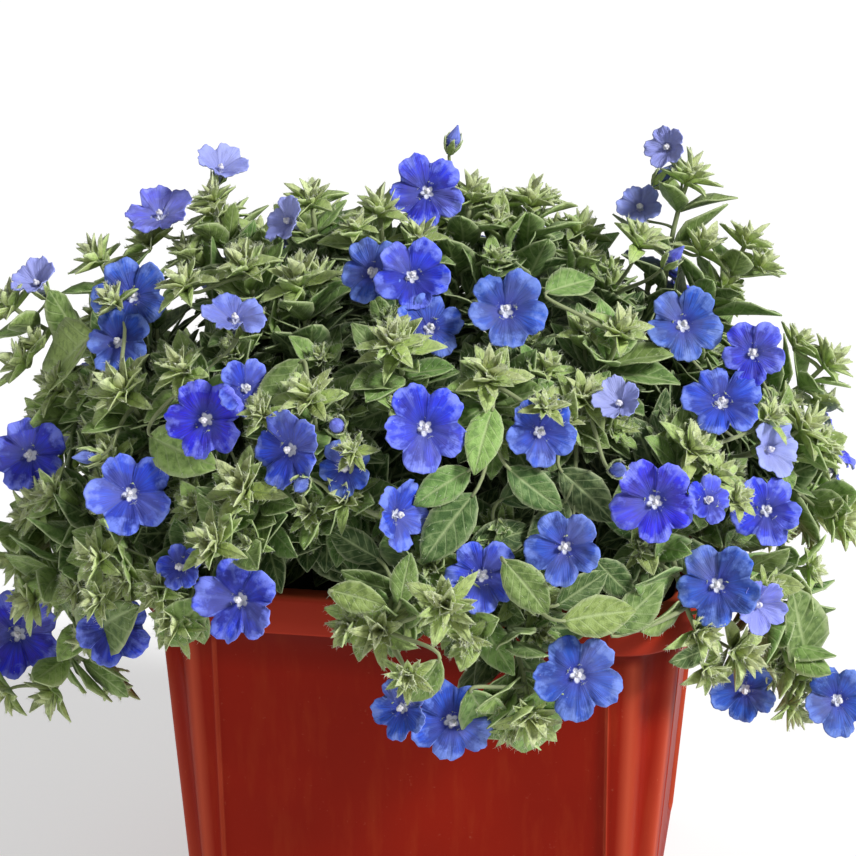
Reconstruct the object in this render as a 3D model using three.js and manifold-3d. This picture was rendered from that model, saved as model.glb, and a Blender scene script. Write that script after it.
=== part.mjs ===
// A dwarf morning glory (Evolvulus) in a square plastic planter with fluted corners.
// Millimetres, +Z up, origin in the middle of the planter's underside. The planter's front panel faces -Y.
// The plant is a low mound of leafy sprays that stand in the potting soil and hang a little over the rim.

import * as THREE from "three";
import { mergeVertices } from "three/addons/utils/BufferGeometryUtils.js";
import Module from "manifold-3d";

const wasm = await Module();
wasm.setup();

// Driving sizes of the planter
const POT_HEIGHT = 140;
const BASE_HALF_WIDTH = 70;
const BODY_HALF_WIDTH = 79.5;
const COLLAR_HALF_WIDTH = 84;
const COLLAR_HEIGHT = 13;
const FLOOR = 3;
const FLOOR_HALF_WIDTH = 66.5;
const MOUTH_HALF_WIDTH = 76.5;
const PANEL_HALF_WIDTH = 58.5;
const PANEL_RECESS = 1.1;
const PANEL_BORDER = 2;
const FLUTE_DEPTH = 1.6;
const DRAIN_RADIUS = 4;
const DRAIN_OFFSET = 36;

// Driving sizes of the soil and of the fit between pieces
const SOIL_TOP = POT_HEIGHT - 15;
const SOIL_CROWN = 3;
const CROWN_SHARE = 0.6;
const CROWN_RELIEF = 1;
const STEM_DEPTH = 14;
const HOLE_RADIUS = 2.2;
const GAP = 0.35;
const OWN_GAP = 0.15;
const MERGE_LENGTH = 0.08;

// Driving sizes of the plant
const MOUND = { middle: [-6.5, -1, POT_HEIGHT + 1.5], across: 130, deep: 116, up: 104, down: 80 };
const MAIN_STEM_RADIUS = 1.6;
const FORK_RADIUS = 1.3;
const FORK_SHARE = 0.46;
const SHOOT_RADIUS = 1.1;
const TIP_RADIUS = 0.75;
const SLEEVE_RADIUS = 1.9;
const STALK_RADIUS = 0.65;
const CALYX_RADIUS = 1.4;
const LEAF_THICKNESS = 0.7;
const LEAF_WIDTH_SHARE = 0.56;
const WHORLS = [
  { depth: 11, leaf_length: 18.5, count: 3 },
  { depth: 25, leaf_length: 23.5, count: 2 },
];
const LOWEST_WHORL = 0.2;
const TUFT_RADIUS = 11;
const LARGE_TUFT_LEAVES = 7;
const SMALL_TUFT_LEAVES = 6;
// Reach and lift of a tuft's leaves, as shares of its radius
const TUFT = [[1, 0.16], [0.66, 0.5], [1, 0.1], [0.7, 0.45], [0.95, 0.2], [1, 0.12], [0.6, 0.55]];
const PETAL_THICKNESS = 0.7;
const BLOOM_TUBE = 5.5;
const THROAT_DEPTH = 1.2;
const CLEFT_SHARE = 0.86;
const OPEN_FLARE = 78;
const LARGE_BLOOM = 24;

// Shares of the mound's size at which a bloom and a shoot's tip are tried, and millimetres by which a
// bloom slides to touch its group
const BLOOM_SHARES = [1, 0.96, 1.04, 0.92, 1.08, 0.88];
const TIP_SHARES = [0.97, 0.92, 1.02, 0.87, 1.06, 0.82];
const SLIDES = [0, 1.5, -1.5, 3, -3, 4.5, -4.5, 6, -6, 8, -8, 10, -10, 12, -12];
// Shares of a leaf's length, and degrees by which it leans out more, in the order in which they are tried
const LEAF_TRIES = [[1, 0], [1, -14], [1, 12], [0.82, 0], [0.82, -16], [0.82, 14], [0.66, -8], [0.66, 8]];
// Where on a stem a flower stalk may start, and how many of the nearest starts are tried
const STALK_STARTS = [0.3, 0.4, 0.5, 0.6, 0.7, 0.8, 0.9];
const NEAREST_STARTS = 16;
const STALK_ROUNDS = 8;
const MAIN_TRIES = 12;
const SHOOT_TRIES = 48;
// Shares of a stem's reach over which it follows its first and last directions
const LEAVE_SHARE = 0.38;
const ARRIVE_SHARE = 0.34;

// The viewpoint that the picture positions below are seen from: a picture of 856 x 856 pixels
const VIEW = {
  azimuth: 9,
  elevation: 20,
  distance: 900,
  aside: -6.6,
  aim_z: POT_HEIGHT + 24.5,
  focal: 2846,
  middle: 428,
};

const UP = new THREE.Vector3(0, 0, 1);
const radians = THREE.MathUtils.degToRad;
const point = (x, y, z) => new THREE.Vector3(x, y, z);
const mix = (a, b, share) => a.clone().lerp(b, share);

// Repeatable random numbers: the minimal standard generator, x -> 48271 x mod (2^31 - 1)
function random_source(seed) {
  let state = seed;
  return (low = 0, high = 1) => {
    state = (state * 48271) % 2147483647;
    return low + ((high - low) * state) / 2147483647;
  };
}

// Solids

// A closed solid from corner points and triangles given as index triples
function solid_from(points, triangles) {
  return new wasm.Manifold(
    new wasm.Mesh({
      numProp: 3,
      vertProperties: new Float32Array(points.flatMap((p) => [p.x, p.y, p.z])),
      triVerts: new Uint32Array(triangles.flat()),
    }),
  );
}

// A closed solid from a three.js geometry, with its shared corners merged
function solid_of(geometry) {
  const bare = geometry.clone().deleteAttribute("normal").deleteAttribute("uv");
  const merged = mergeVertices(bare, 1e-4);
  return new wasm.Manifold(
    new wasm.Mesh({
      numProp: 3,
      vertProperties: merged.attributes.position.array,
      triVerts: new Uint32Array(merged.index.array),
    }),
  );
}

function geometry_of(solid) {
  const mesh = solid.getMesh();
  const geometry = new THREE.BufferGeometry();
  geometry.setAttribute("position", new THREE.BufferAttribute(mesh.vertProperties.slice(), 3));
  geometry.setIndex(new THREE.BufferAttribute(mesh.triVerts.slice(), 1));
  geometry.computeVertexNormals();
  return geometry;
}

// A joined solid with its shortest edges and flattest corners merged
function merged(solid) {
  return solid.asOriginal().simplify(MERGE_LENGTH);
}

// Triangles between equal rings of corners, listed ring after ring; the caps are triangulated outlines
function loft(rings) {
  const n = rings[0].length;
  const points = rings.flat();
  const triangles = [];
  for (let level = 0; level + 1 < rings.length; level++) {
    for (let i = 0; i < n; i++) {
      const j = (i + 1) % n;
      const [a, b] = [level * n + i, level * n + j];
      triangles.push([a, b, b + n], [a, b + n, a + n]);
    }
  }
  const cap = (ring) =>
    THREE.ShapeUtils.triangulateShape(
      ring.map((p) => new THREE.Vector2(p.x, p.y)),
      [],
    );
  const last = (rings.length - 1) * n;
  cap(rings[0]).forEach(([a, b, c]) => triangles.push([a, c, b]));
  cap(rings.at(-1)).forEach(([a, b, c]) => triangles.push([last + a, last + b, last + c]));
  return solid_from(points, triangles);
}

// The planter

// Plan outline of the planter at one height, anticlockwise from above: four panels, each stepped back
// by recess, between corner columns whose two ribs meet in a groove
function planter_outline(half_width, z, recess, groove) {
  const panel = PANEL_HALF_WIDTH;
  const centre = panel + PANEL_BORDER;
  const radius = half_width - centre;
  const side = [
    [-panel, -(half_width - recess)],
    [panel, -(half_width - recess)],
    [panel + 0.8, -half_width],
  ];
  [-90, -67.5, -45, -22.5, 0].forEach((angle, i) => {
    const r = i === 2 ? radius - groove : radius;
    side.push([centre + r * Math.cos(radians(angle)), -centre + r * Math.sin(radians(angle))]);
  });
  side.push([half_width, -(panel + 0.8)]);
  return [0, 1, 2, 3].flatMap((quarter) =>
    side.map(([x, y]) => point(x, y, z).applyAxisAngle(UP, (quarter * Math.PI) / 2)),
  );
}

function planter() {
  const under_collar = POT_HEIGHT - COLLAR_HEIGHT;
  const levels = [
    [0, BASE_HALF_WIDTH, PANEL_RECESS, FLUTE_DEPTH],
    [under_collar, BODY_HALF_WIDTH, PANEL_RECESS, FLUTE_DEPTH],
    [under_collar, COLLAR_HALF_WIDTH - 0.6, 0.3, 0.3],
    [POT_HEIGHT - 1.2, COLLAR_HALF_WIDTH, 0.3, 0.3],
    [POT_HEIGHT, COLLAR_HALF_WIDTH - 1.2, 0.3, 0.3],
    [POT_HEIGHT, MOUTH_HALF_WIDTH, 0, 0.3],
    [FLOOR, FLOOR_HALF_WIDTH, 0, 0.3],
  ];
  let pot = loft(levels.map(([z, w, recess, groove]) => planter_outline(w, z, recess, groove)));
  for (const quarter of [0, 1, 2, 3]) {
    const drain = new THREE.CylinderGeometry(DRAIN_RADIUS, DRAIN_RADIUS, 4 * FLOOR, 7);
    drain.rotateX(Math.PI / 2).translate(DRAIN_OFFSET, 0, 0).rotateZ(((quarter + 0.5) * Math.PI) / 2);
    pot = pot.subtract(solid_of(drain));
  }
  return pot;
}

// The soil fills the planter's inside, clear of its walls, with a low uneven crown and a plain square
// hole for each main stem
function soil() {
  const draw = random_source(77);
  const wall_at = (z) => THREE.MathUtils.mapLinear(z, FLOOR, POT_HEIGHT, FLOOR_HALF_WIDTH, MOUTH_HALF_WIDTH);
  const inside = (z) => wall_at(z) - GAP;
  const outline = (z, share, relief) =>
    [0, 1, 2, 3].flatMap((quarter) =>
      [[-0.72, -1], [0, -1], [0.72, -1], [0.9, -0.9]].map(([x, y]) =>
        point(share * x * inside(z), share * y * inside(z), z + draw(-relief, relief)).applyAxisAngle(
          UP,
          (quarter * Math.PI) / 2,
        ),
      ),
    );
  const body = loft([
    outline(FLOOR + GAP, 1, 0),
    outline(SOIL_TOP, 1, 0),
    outline(SOIL_TOP + SOIL_CROWN, CROWN_SHARE, CROWN_RELIEF),
  ]);
  return SPRAYS.reduce((left, { root }) => {
    const hole = [SOIL_TOP - STEM_DEPTH - 0.5, SOIL_TOP + 12].map((z) => point(...root, z));
    return left.subtract(tube(hole, [UP, UP], [HOLE_RADIUS, HOLE_RADIUS], 4));
  }, body);
}

// The viewpoint and the mound

function view_axes() {
  const [a, e] = [radians(VIEW.azimuth), radians(VIEW.elevation)];
  const back = point(Math.sin(a) * Math.cos(e), -Math.cos(a) * Math.cos(e), Math.sin(e));
  const right = point(Math.cos(a), Math.sin(a), 0);
  return { back, right, up: back.clone().cross(right) };
}
const AXES = view_axes();
const EYE = point(0, 0, VIEW.aim_z)
  .addScaledVector(AXES.back, VIEW.distance)
  .addScaledVector(AXES.right, VIEW.aside);

// Outward direction of the mound's surface at a point
function outward(p) {
  const [cx, cy, cz] = MOUND.middle;
  const height = p.z > cz ? MOUND.up : MOUND.down;
  return point(
    (p.x - cx) / MOUND.across ** 2,
    (p.y - cy) / MOUND.deep ** 2,
    (p.z - cz) / height ** 2,
  ).normalize();
}

// Where the line of sight through a picture position meets the mound, scaled by share; a line that passes
// outside it gives its nearest point to the mound
function seen_at(column, row, share = 1) {
  const sight = AXES.back
    .clone()
    .multiplyScalar(-VIEW.focal)
    .addScaledVector(AXES.right, column - VIEW.middle)
    .addScaledVector(AXES.up, VIEW.middle - row)
    .normalize();
  const start = EYE.clone().sub(point(...MOUND.middle));
  const meet = (height) => {
    const scale = point(1 / MOUND.across, 1 / MOUND.deep, 1 / height);
    const [o, d] = [start.clone().multiply(scale), sight.clone().multiply(scale)];
    const [aa, bb, cc] = [d.dot(d), o.dot(d), o.dot(o) - share * share];
    const travel = (-bb - Math.sqrt(Math.max(0, bb * bb - aa * cc))) / aa;
    return EYE.clone().addScaledVector(sight, travel);
  };
  const upper = meet(MOUND.up);
  return upper.z >= MOUND.middle[2] ? upper : meet(MOUND.down);
}

// A point of the mound by its bearing, 0 at the front and positive to the right, and its rise, in degrees
function at_bearing(bearing, rise, share = 1) {
  const [b, r] = [radians(bearing), radians(rise)];
  const height = rise > 0 ? MOUND.up : MOUND.down;
  return point(
    MOUND.middle[0] + share * MOUND.across * Math.cos(r) * Math.sin(b),
    MOUND.middle[1] - share * MOUND.deep * Math.cos(r) * Math.cos(b),
    MOUND.middle[2] + share * height * Math.sin(r),
  );
}

// A direction turned from the line towards the eye: right and up as the eye sees them, in degrees
function facing(turn, lift) {
  const [t, l] = [radians(turn), radians(lift)];
  return AXES.back
    .clone()
    .multiplyScalar(Math.cos(t) * Math.cos(l))
    .addScaledVector(AXES.right, Math.sin(t) * Math.cos(l))
    .addScaledVector(AXES.up, Math.sin(l));
}

// Stems, leaves, rosettes and blooms

// Two directions square to an axis, turning anticlockwise about it: the first is level, to its right
function square_to(axis) {
  const side = UP.clone().cross(axis);
  if (side.length() < 0.05) side.set(1, 0, 0);
  side.normalize();
  return [side, axis.clone().cross(side)];
}

// A stem with few sides and flat ends, from the points along its middle, the direction of each and radii
function tube(points, directions, radii, sides) {
  let side = square_to(directions[0])[0];
  const rings = points.map((p, i) => {
    const along = directions[i];
    side = side.clone().addScaledVector(along, -side.dot(along)).normalize();
    const over = along.clone().cross(side);
    return Array.from({ length: sides }, (_, k) => {
      const turn = (2 * Math.PI * k) / sides;
      return p
        .clone()
        .addScaledVector(side, radii[i] * Math.cos(turn))
        .addScaledVector(over, radii[i] * Math.sin(turn));
    });
  });
  const triangles = [];
  for (let level = 0; level + 1 < rings.length; level++) {
    for (let k = 0; k < sides; k++) {
      const [a, b] = [level * sides + k, level * sides + ((k + 1) % sides)];
      triangles.push([a, b, b + sides], [a, b + sides, a + sides]);
    }
  }
  const last = (rings.length - 1) * sides;
  for (let k = 1; k + 1 < sides; k++) {
    triangles.push([0, k + 1, k], [last, last + k, last + k + 1]);
  }
  return solid_from(rings.flat(), triangles);
}

// The corners of one leaf, from its root, direction, upper side and length: shoulder, tip, shoulder
function leaf_corners({ root, along, above, length }) {
  const across = along.clone().cross(above).normalize();
  const half_width = 0.5 * LEAF_WIDTH_SHARE * length;
  const at = (run, side, lift) =>
    root
      .clone()
      .addScaledVector(along, run * length)
      .addScaledVector(across, side * half_width)
      .addScaledVector(above, lift * length);
  return [at(0.46, 1, 0.1), at(1, 0, 0), at(0.46, -1, 0.1)];
}

// One leaf by itself, as a blade of even thickness, to find a clear place for it
function lone_leaf(data) {
  const top = [data.root, ...leaf_corners(data)];
  const under = top.map((p) => p.clone().addScaledVector(data.above, -LEAF_THICKNESS));
  const triangles = [[0, 1, 2], [0, 2, 3], [4, 6, 5], [4, 7, 6]];
  for (let i = 0; i < 4; i++) {
    const j = (i + 1) % 4;
    triangles.push([j, i, 4 + i], [j, 4 + i, 4 + j]);
  }
  return solid_from([...top, ...under], triangles);
}

function shoot_radius(t) {
  return THREE.MathUtils.lerp(SHOOT_RADIUS, TIP_RADIUS, t);
}

// A leafy shoot as one closed surface, from its start to its tip. Rings of three corners follow the
// stem; a whorl is a flange between two rings, whose outline runs round its leaves; the last ring opens
// into the tuft, an outline of long low and short steep leaves in turn round a bud
function leafy_shoot(way, whorls, tuft) {
  const points = [];
  const triangles = [];
  const add_points = (list) => {
    points.push(...list);
    return points.length - list.length;
  };
  let [side] = square_to(way.directions[0]);
  const ring_at = (t, radius, phase, shift) => {
    const along = way.along(t);
    side = side.clone().addScaledVector(along, -side.dot(along)).normalize();
    const over = along.clone().cross(side);
    return [0, 1, 2].map((k) => {
      const turn = radians(phase + 120 * k);
      return way
        .at(t)
        .addScaledVector(along, shift)
        .addScaledVector(side, radius * Math.cos(turn))
        .addScaledVector(over, radius * Math.sin(turn));
    });
  };
  const join = (low, high) => {
    for (let k = 0; k < 3; k++) {
      const j = (k + 1) % 3;
      triangles.push([low + k, low + j, high + j], [low + k, high + j, high + k]);
    }
  };
  const stations = [
    ...way.steps.slice(0, -1).map((t) => ({ t })),
    ...whorls.map((whorl) => ({ t: whorl.t, whorl })),
    { t: way.steps.at(-1) },
  ].sort((p, q) => p.t - q.t);
  let phase = whorls.at(-1)?.phase ?? 0;
  let low = -1;
  stations.forEach(({ t, whorl }) => {
    const radius = shoot_radius(t);
    if (!whorl) {
      const ring = add_points(ring_at(t, radius, phase, 0));
      if (low < 0) triangles.push([ring, ring + 2, ring + 1]);
      else join(low, ring);
      low = ring;
      return;
    }
    phase = whorl.phase;
    const lower = add_points(ring_at(t, radius, phase, -0.5));
    join(low, lower);
    const upper = add_points(ring_at(t, radius, phase, 0.5));
    const notches = ring_at(t, radius * 1.5, phase - 60, 0);
    const along = way.along(t);
    const outline = [];
    const owner = [];
    const above = [];
    whorl.leaves.forEach((data, k) => {
      outline.push(notches[k].clone().addScaledVector(along, 0.35));
      owner.push(k);
      above.push(along);
      if (!data) return;
      leaf_corners(data).forEach((p) => {
        outline.push(p);
        owner.push(k);
        above.push(data.above);
      });
    });
    const top = add_points(outline);
    const under = add_points(outline.map((p, i) => p.clone().addScaledVector(above[i], -LEAF_THICKNESS)));
    outline.forEach((_, i) => {
      const j = (i + 1) % outline.length;
      triangles.push([top + i, top + j, upper + owner[i]], [under + j, under + i, lower + owner[i]]);
      triangles.push([top + j, top + i, under + i], [top + j, under + i, under + j]);
      if (owner[i] !== owner[j]) {
        triangles.push([top + j, upper + owner[j], upper + owner[i]]);
        triangles.push([under + j, lower + owner[i], lower + owner[j]]);
      }
    });
    low = upper;
  });
  const { axis, radius, turn } = tuft;
  const [east, north] = square_to(axis);
  const count = 2 * (radius > TUFT_RADIUS ? LARGE_TUFT_LEAVES : SMALL_TUFT_LEAVES);
  const star = Array.from({ length: count }, (_, i) => {
    const angle = radians(turn) + (2 * Math.PI * i) / count;
    const [reach, lift] = i % 2 ? [0.3, 0.02] : TUFT[i / 2];
    return tuft.tip
      .clone()
      .addScaledVector(east, radius * reach * Math.cos(angle))
      .addScaledVector(north, radius * reach * Math.sin(angle))
      .addScaledVector(axis, radius * lift);
  });
  const outline = add_points(star);
  const bud = add_points([tuft.tip.clone().addScaledVector(axis, 0.4 * radius)]);
  const first = points[low].clone().sub(tuft.tip);
  const bearing = Math.atan2(first.dot(north), first.dot(east)) - radians(turn);
  const offset = Math.round((bearing * count) / (2 * Math.PI));
  const owner = (i) => Math.floor((((i - offset + count / 6 + 2 * count) % count) * 3) / count) % 3;
  star.forEach((_, i) => {
    const j = (i + 1) % count;
    triangles.push([outline + i, outline + j, bud], [outline + j, outline + i, low + owner(i)]);
    if (owner(i) !== owner(j)) triangles.push([outline + j, low + owner(i), low + owner(j)]);
  });
  return solid_from(points, triangles);
}

// A flower of five lobes joined nearly to their ends, on a short three-sided tube. centre is the middle of
// its face, flare the angle in degrees by which the lobes open from the axis, and corners the directions in
// degrees, from each cleft, of the corners of one lobe
function bloom({ centre, axis, across, flare, phase, corners }) {
  const [side, over] = square_to(axis);
  const spread = (across / 2) * Math.sin(radians(flare));
  const height = (across / 2) * Math.cos(radians(flare));
  const at = (turn, reach, lift) =>
    centre
      .clone()
      .addScaledVector(side, reach * Math.cos(radians(phase + turn)))
      .addScaledVector(over, reach * Math.sin(radians(phase + turn)))
      .addScaledVector(axis, lift);
  const edge = [];
  const turns = [];
  for (let lobe = 0; lobe < 5; lobe++) {
    edge.push(at(72 * lobe, CLEFT_SHARE * spread, CLEFT_SHARE * height));
    corners.forEach((turn) => edge.push(at(72 * lobe + turn, spread, height)));
    turns.push(72 * lobe, ...corners.map((turn) => 72 * lobe + turn));
  }
  const n = edge.length;
  const points = [
    ...edge,
    centre.clone().addScaledVector(axis, -THROAT_DEPTH),
    ...edge.map((p) => p.clone().addScaledVector(axis, -PETAL_THICKNESS)),
    ...[0, 120, 240].map((turn) => at(turn, 0.2 * spread, -THROAT_DEPTH - PETAL_THICKNESS)),
    ...[0, 120, 240].map((turn) => at(turn, 1.2, -BLOOM_TUBE)),
  ];
  const [under, collar, foot] = [n + 1, 2 * n + 1, 2 * n + 4];
  const triangles = [[foot, foot + 2, foot + 1]];
  for (let i = 0; i < n; i++) {
    const j = (i + 1) % n;
    const [near, next] = [i, j].map((index) => Math.round(turns[index] / 120) % 3);
    triangles.push([i, j, n], [under + j, under + i, collar + near]);
    triangles.push([j, i, under + i], [j, under + i, under + j]);
    if (near !== next) triangles.push([under + j, collar + near, collar + next]);
  }
  for (let k = 0; k < 3; k++) {
    const m = (k + 1) % 3;
    triangles.push([collar + m, collar + k, foot + k], [collar + m, foot + k, foot + m]);
  }
  return solid_from(points, triangles);
}

// The plant: ten sprays towards the picture and four behind. Each stands at its root in the soil and has
// shoots with their tips, and blooms in groups that touch. A place is a picture position (seen) or a
// bearing and rise on the mound (round), with the share of the mound's size at which it lies
const SPRAYS = [
  {
    name: "left_low",
    root: [-42, -20],
    tips: [{ seen: [180, 620] }, { seen: [35, 600] }, { seen: [55, 690], share: 0.95 }],
    blooms: [
      [{ seen: [240, 600], across: 25, turn: -25, lift: 0, share: 0.97 }],
      [{ seen: [112, 628], across: 22, turn: 10, lift: -10 }],
      [{ seen: [18, 634], across: 26, turn: 0, lift: 0 }],
    ],
  },
  {
    name: "left_middle",
    root: [-44, -4],
    tips: [
      { seen: [125, 395], size: 14 },
      { seen: [45, 505] },
      { seen: [20, 560] },
      { seen: [100, 560] },
    ],
    blooms: [
      [{ seen: [30, 455], across: 24, turn: -10, lift: 10 }],
      [{ seen: [130, 494], across: 24, turn: 0, lift: 5 }],
      [{ seen: [180, 567], across: 14, turn: -20, lift: 10 }],
    ],
  },
  {
    name: "left_top",
    root: [-42, 14],
    tips: [{ seen: [20, 300] }, { seen: [100, 262] }, { seen: [60, 390] }],
    blooms: [
      [{ seen: [38, 285], across: 16, turn: -30, lift: 40, flare: 45 }],
      [
        { seen: [132, 296], across: 24, turn: 0, lift: 15 },
        { seen: [118, 342], across: 20, turn: -10, lift: 20 },
      ],
    ],
  },
  {
    name: "upper_left",
    root: [-26, 12],
    tips: [
      { seen: [185, 372] },
      { seen: [215, 215] },
      { seen: [312, 205], share: 1.02 },
      { seen: [245, 270] },
    ],
    blooms: [
      [{ seen: [160, 216], across: 22, turn: -10, lift: 50, flare: 70 }],
      [{ seen: [220, 170], across: 18, turn: 20, lift: 45, flare: 55, share: 1.06 }],
      [{ seen: [235, 320], across: 19, turn: 0, lift: 50, flare: 70 }],
      [{ seen: [290, 222], across: 16, turn: -45, lift: 20, flare: 60 }],
    ],
  },
  {
    name: "centre_left",
    root: [-22, -34],
    tips: [
      { seen: [245, 490], size: 13 },
      { seen: [300, 285], size: 13 },
      { seen: [310, 400] },
      { seen: [215, 545] },
    ],
    blooms: [
      [
        { seen: [205, 420], across: 24, turn: -15, lift: -5 },
        { seen: [246, 388], across: 18, turn: 25, lift: 5 },
      ],
      [{ seen: [290, 450], across: 22, turn: -35, lift: 0 }],
    ],
  },
  {
    name: "centre",
    root: [-4, -12],
    tips: [
      { seen: [400, 350], size: 13 },
      { seen: [345, 500] },
      { seen: [470, 200] },
      { seen: [380, 215] },
    ],
    blooms: [
      [
        { seen: [372, 272], across: 20, turn: -20, lift: 10, share: 0.98 },
        { seen: [412, 276], across: 22, turn: 5, lift: 15 },
        { seen: [430, 328], across: 20, turn: 10, lift: 20, share: 0.98 },
      ],
      [{ seen: [427, 192], across: 22, turn: 0, lift: 5, share: 1.02 }],
      [{ seen: [425, 428], across: 25, turn: 5, lift: 5 }],
      [{ seen: [397, 515], across: 20, turn: 50, lift: 0, share: 0.97 }],
      [{ seen: [345, 468], across: 16, turn: -10, lift: -10, share: 0.94 }],
    ],
  },
  {
    name: "front_middle",
    root: [8, -42],
    tips: [
      { seen: [455, 600], size: 14, share: 1.02 },
      { seen: [380, 630] },
      { seen: [530, 715] },
      { seen: [520, 590] },
    ],
    blooms: [
      [
        { seen: [452, 722], across: 24, turn: 10, lift: -5 },
        { seen: [402, 708], across: 18, turn: -30, lift: 0 },
      ],
      [{ seen: [578, 675], across: 25, turn: 0, lift: 0, share: 1.02 }],
      [{ seen: [482, 575], across: 21, turn: 0, lift: 5, share: 0.93 }],
    ],
  },
  {
    name: "centre_right",
    root: [18, -22],
    tips: [
      { seen: [490, 380], size: 12 },
      { seen: [585, 400] },
      { seen: [530, 205] },
      { seen: [620, 335] },
    ],
    blooms: [
      [{ seen: [506, 310], across: 24, turn: 5, lift: 20 }],
      [{ seen: [540, 432], across: 20, turn: 15, lift: 0, share: 0.97 }],
      [{ seen: [565, 547], across: 22, turn: -10, lift: 5 }],
      [{ seen: [620, 405], across: 14, turn: -20, lift: 30, flare: 55 }],
    ],
  },
  {
    name: "right_top",
    root: [25, 4],
    tips: [
      { seen: [690, 175], share: 1.04 },
      { seen: [745, 245] },
      { seen: [825, 365] },
      { seen: [800, 430] },
    ],
    blooms: [
      [{ seen: [668, 148], across: 14, turn: -30, lift: 10, flare: 60, share: 1.08 }],
      [{ seen: [640, 208], across: 14, turn: -10, lift: 25, flare: 65 }],
      [{ seen: [683, 325], across: 23, turn: 10, lift: 15 }],
      [
        { seen: [753, 353], across: 19, turn: -5, lift: 10 },
        { seen: [722, 402], across: 23, turn: 0, lift: 30 },
      ],
      [{ seen: [768, 450], across: 18, turn: 40, lift: 10, flare: 60 }],
    ],
  },
  {
    name: "right_low",
    root: [42, -18],
    tips: [{ seen: [795, 680] }, { seen: [840, 510] }, { seen: [700, 630] }, { seen: [690, 450] }],
    blooms: [
      [
        { seen: [655, 502], across: 25, turn: 0, lift: 0 },
        { seen: [708, 500], across: 14, turn: 20, lift: 10, share: 0.97 },
      ],
      [{ seen: [767, 510], across: 21, turn: 10, lift: 10 }],
      [
        { seen: [717, 585], across: 24, turn: -5, lift: 5 },
        { seen: [757, 604], across: 16, turn: 25, lift: -10, flare: 65 },
      ],
      [{ seen: [745, 690], across: 20, turn: -10, lift: -15 }],
      [{ seen: [838, 700], across: 22, turn: 10, lift: 0 }],
    ],
  },
];

// The four sprays behind are laid out by a rule: shoots at four rises on either side of their bearing,
// a group of three blooms above and a pair below. Their upper ones keep lower than the front ones
const BACK_BEARINGS = [114, 154, -162, -118];
const BACK_ROOT_RADIUS = 40;
const BACK_RING = 4.8;
const BACK_TOP_SHARE = 0.9;
BACK_BEARINGS.forEach((bearing, index) => {
  const draw = random_source(301 + index);
  const tips = [56, 32, 4, -22].map((rise, k) => ({
    round: [bearing + (k % 2 ? 16 : -14) + draw(-4, 4), rise + draw(-4, 4)],
    share: k ? 1 : BACK_TOP_SHARE,
  }));
  const blooms = [40, 8].map((rise, k) => {
    const middle = [bearing + Math.sign(bearing) * (k ? -13 : 12), rise];
    const around = (k ? [0, 1] : [0, 1, 2]).map((i) => radians(90 + (k ? 180 : 120) * i + 40 * k));
    return around.map((a) => ({
      round: [middle[0] + BACK_RING * Math.cos(a), middle[1] + BACK_RING * Math.sin(a)],
      share: k ? 1 : BACK_TOP_SHARE,
      across: draw(21, 25),
      turn: draw(-10, 10),
      lift: draw(0, 12),
    }));
  });
  const root = point(0, -BACK_ROOT_RADIUS, 0).applyAxisAngle(UP, radians(bearing));
  SPRAYS.push({ name: `behind_${index + 1}`, root: [root.x, root.y], tips, blooms });
});

// Growing: each piece is tried in a few positions and takes the first that is clear of those in place

const placed = [];

function place(solid, node, key) {
  placed.push({ solid, node, key, box: solid.boundingBox() });
  return solid;
}

function box_gap(a, b) {
  return Math.max(...[0, 1, 2].map((i) => Math.max(a.min[i] - b.max[i], b.min[i] - a.max[i])));
}

// Whether a solid keeps its distance from the pieces in place, apart from those that it may touch
function is_clear(solid, node, may_touch) {
  const box = solid.boundingBox();
  return placed.every((other) => {
    if (may_touch.includes(other.key)) return true;
    const gap = other.node === node ? OWN_GAP : GAP;
    return box_gap(box, other.box) > gap || solid.minGap(other.solid, 2 * gap) >= gap;
  });
}

// The first of count tries whose solid is clear, or nothing. A try may name the piece that it grows from
function first_clear(count, make, node, may_touch) {
  for (let attempt = 0; attempt < count; attempt++) {
    const made = make(attempt);
    if (made && is_clear(made.solid, node, [...may_touch, made.host])) return made;
  }
  return null;
}

function sure(made, what) {
  if (!made) throw new Error(`${what} finds no clear place`);
  return made;
}

function position(data, share) {
  const whole = (data.share ?? 1) * share;
  return data.seen ? seen_at(...data.seen, whole) : at_bearing(...data.round, whole);
}

// The way a bloom faces: turned from the eye if it is placed by the picture, else from the mound's surface
function bloom_axis(data, centre) {
  if (data.seen) return facing(data.turn, data.lift);
  const out = outward(centre);
  const side = UP.clone().cross(out).normalize();
  return out.applyAxisAngle(UP, radians(data.turn)).applyAxisAngle(side, radians(-data.lift)).normalize();
}

// A random direction with a length of up to about reach, to be added to another
function stray(draw, reach) {
  return point(draw(-reach, reach), draw(-reach, reach), draw(-reach, reach));
}

// A stem's course: a cubic curve that leaves along one direction and arrives along another, followed in
// straight steps. at gives the point a share t of the way along, and along its direction there
function course(start, leave, end, arrive, steps) {
  const reach = start.distanceTo(end);
  const curve = new THREE.CubicBezierCurve3(
    start,
    start.clone().addScaledVector(leave, LEAVE_SHARE * reach),
    end.clone().addScaledVector(arrive, -ARRIVE_SHARE * reach),
    end,
  );
  const points = steps.map((t) => curve.getPoint(t));
  const along = (t) => curve.getTangent(t);
  const at = (t) => {
    const i = Math.min(steps.findLastIndex((step) => step <= t), steps.length - 2);
    return mix(points[i], points[i + 1], (t - steps[i]) / (steps[i + 1] - steps[i]));
  };
  const length = points.slice(1).reduce((sum, p, i) => sum + p.distanceTo(points[i]), 0);
  return { steps, points, directions: steps.map(along), along, at, length };
}

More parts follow.
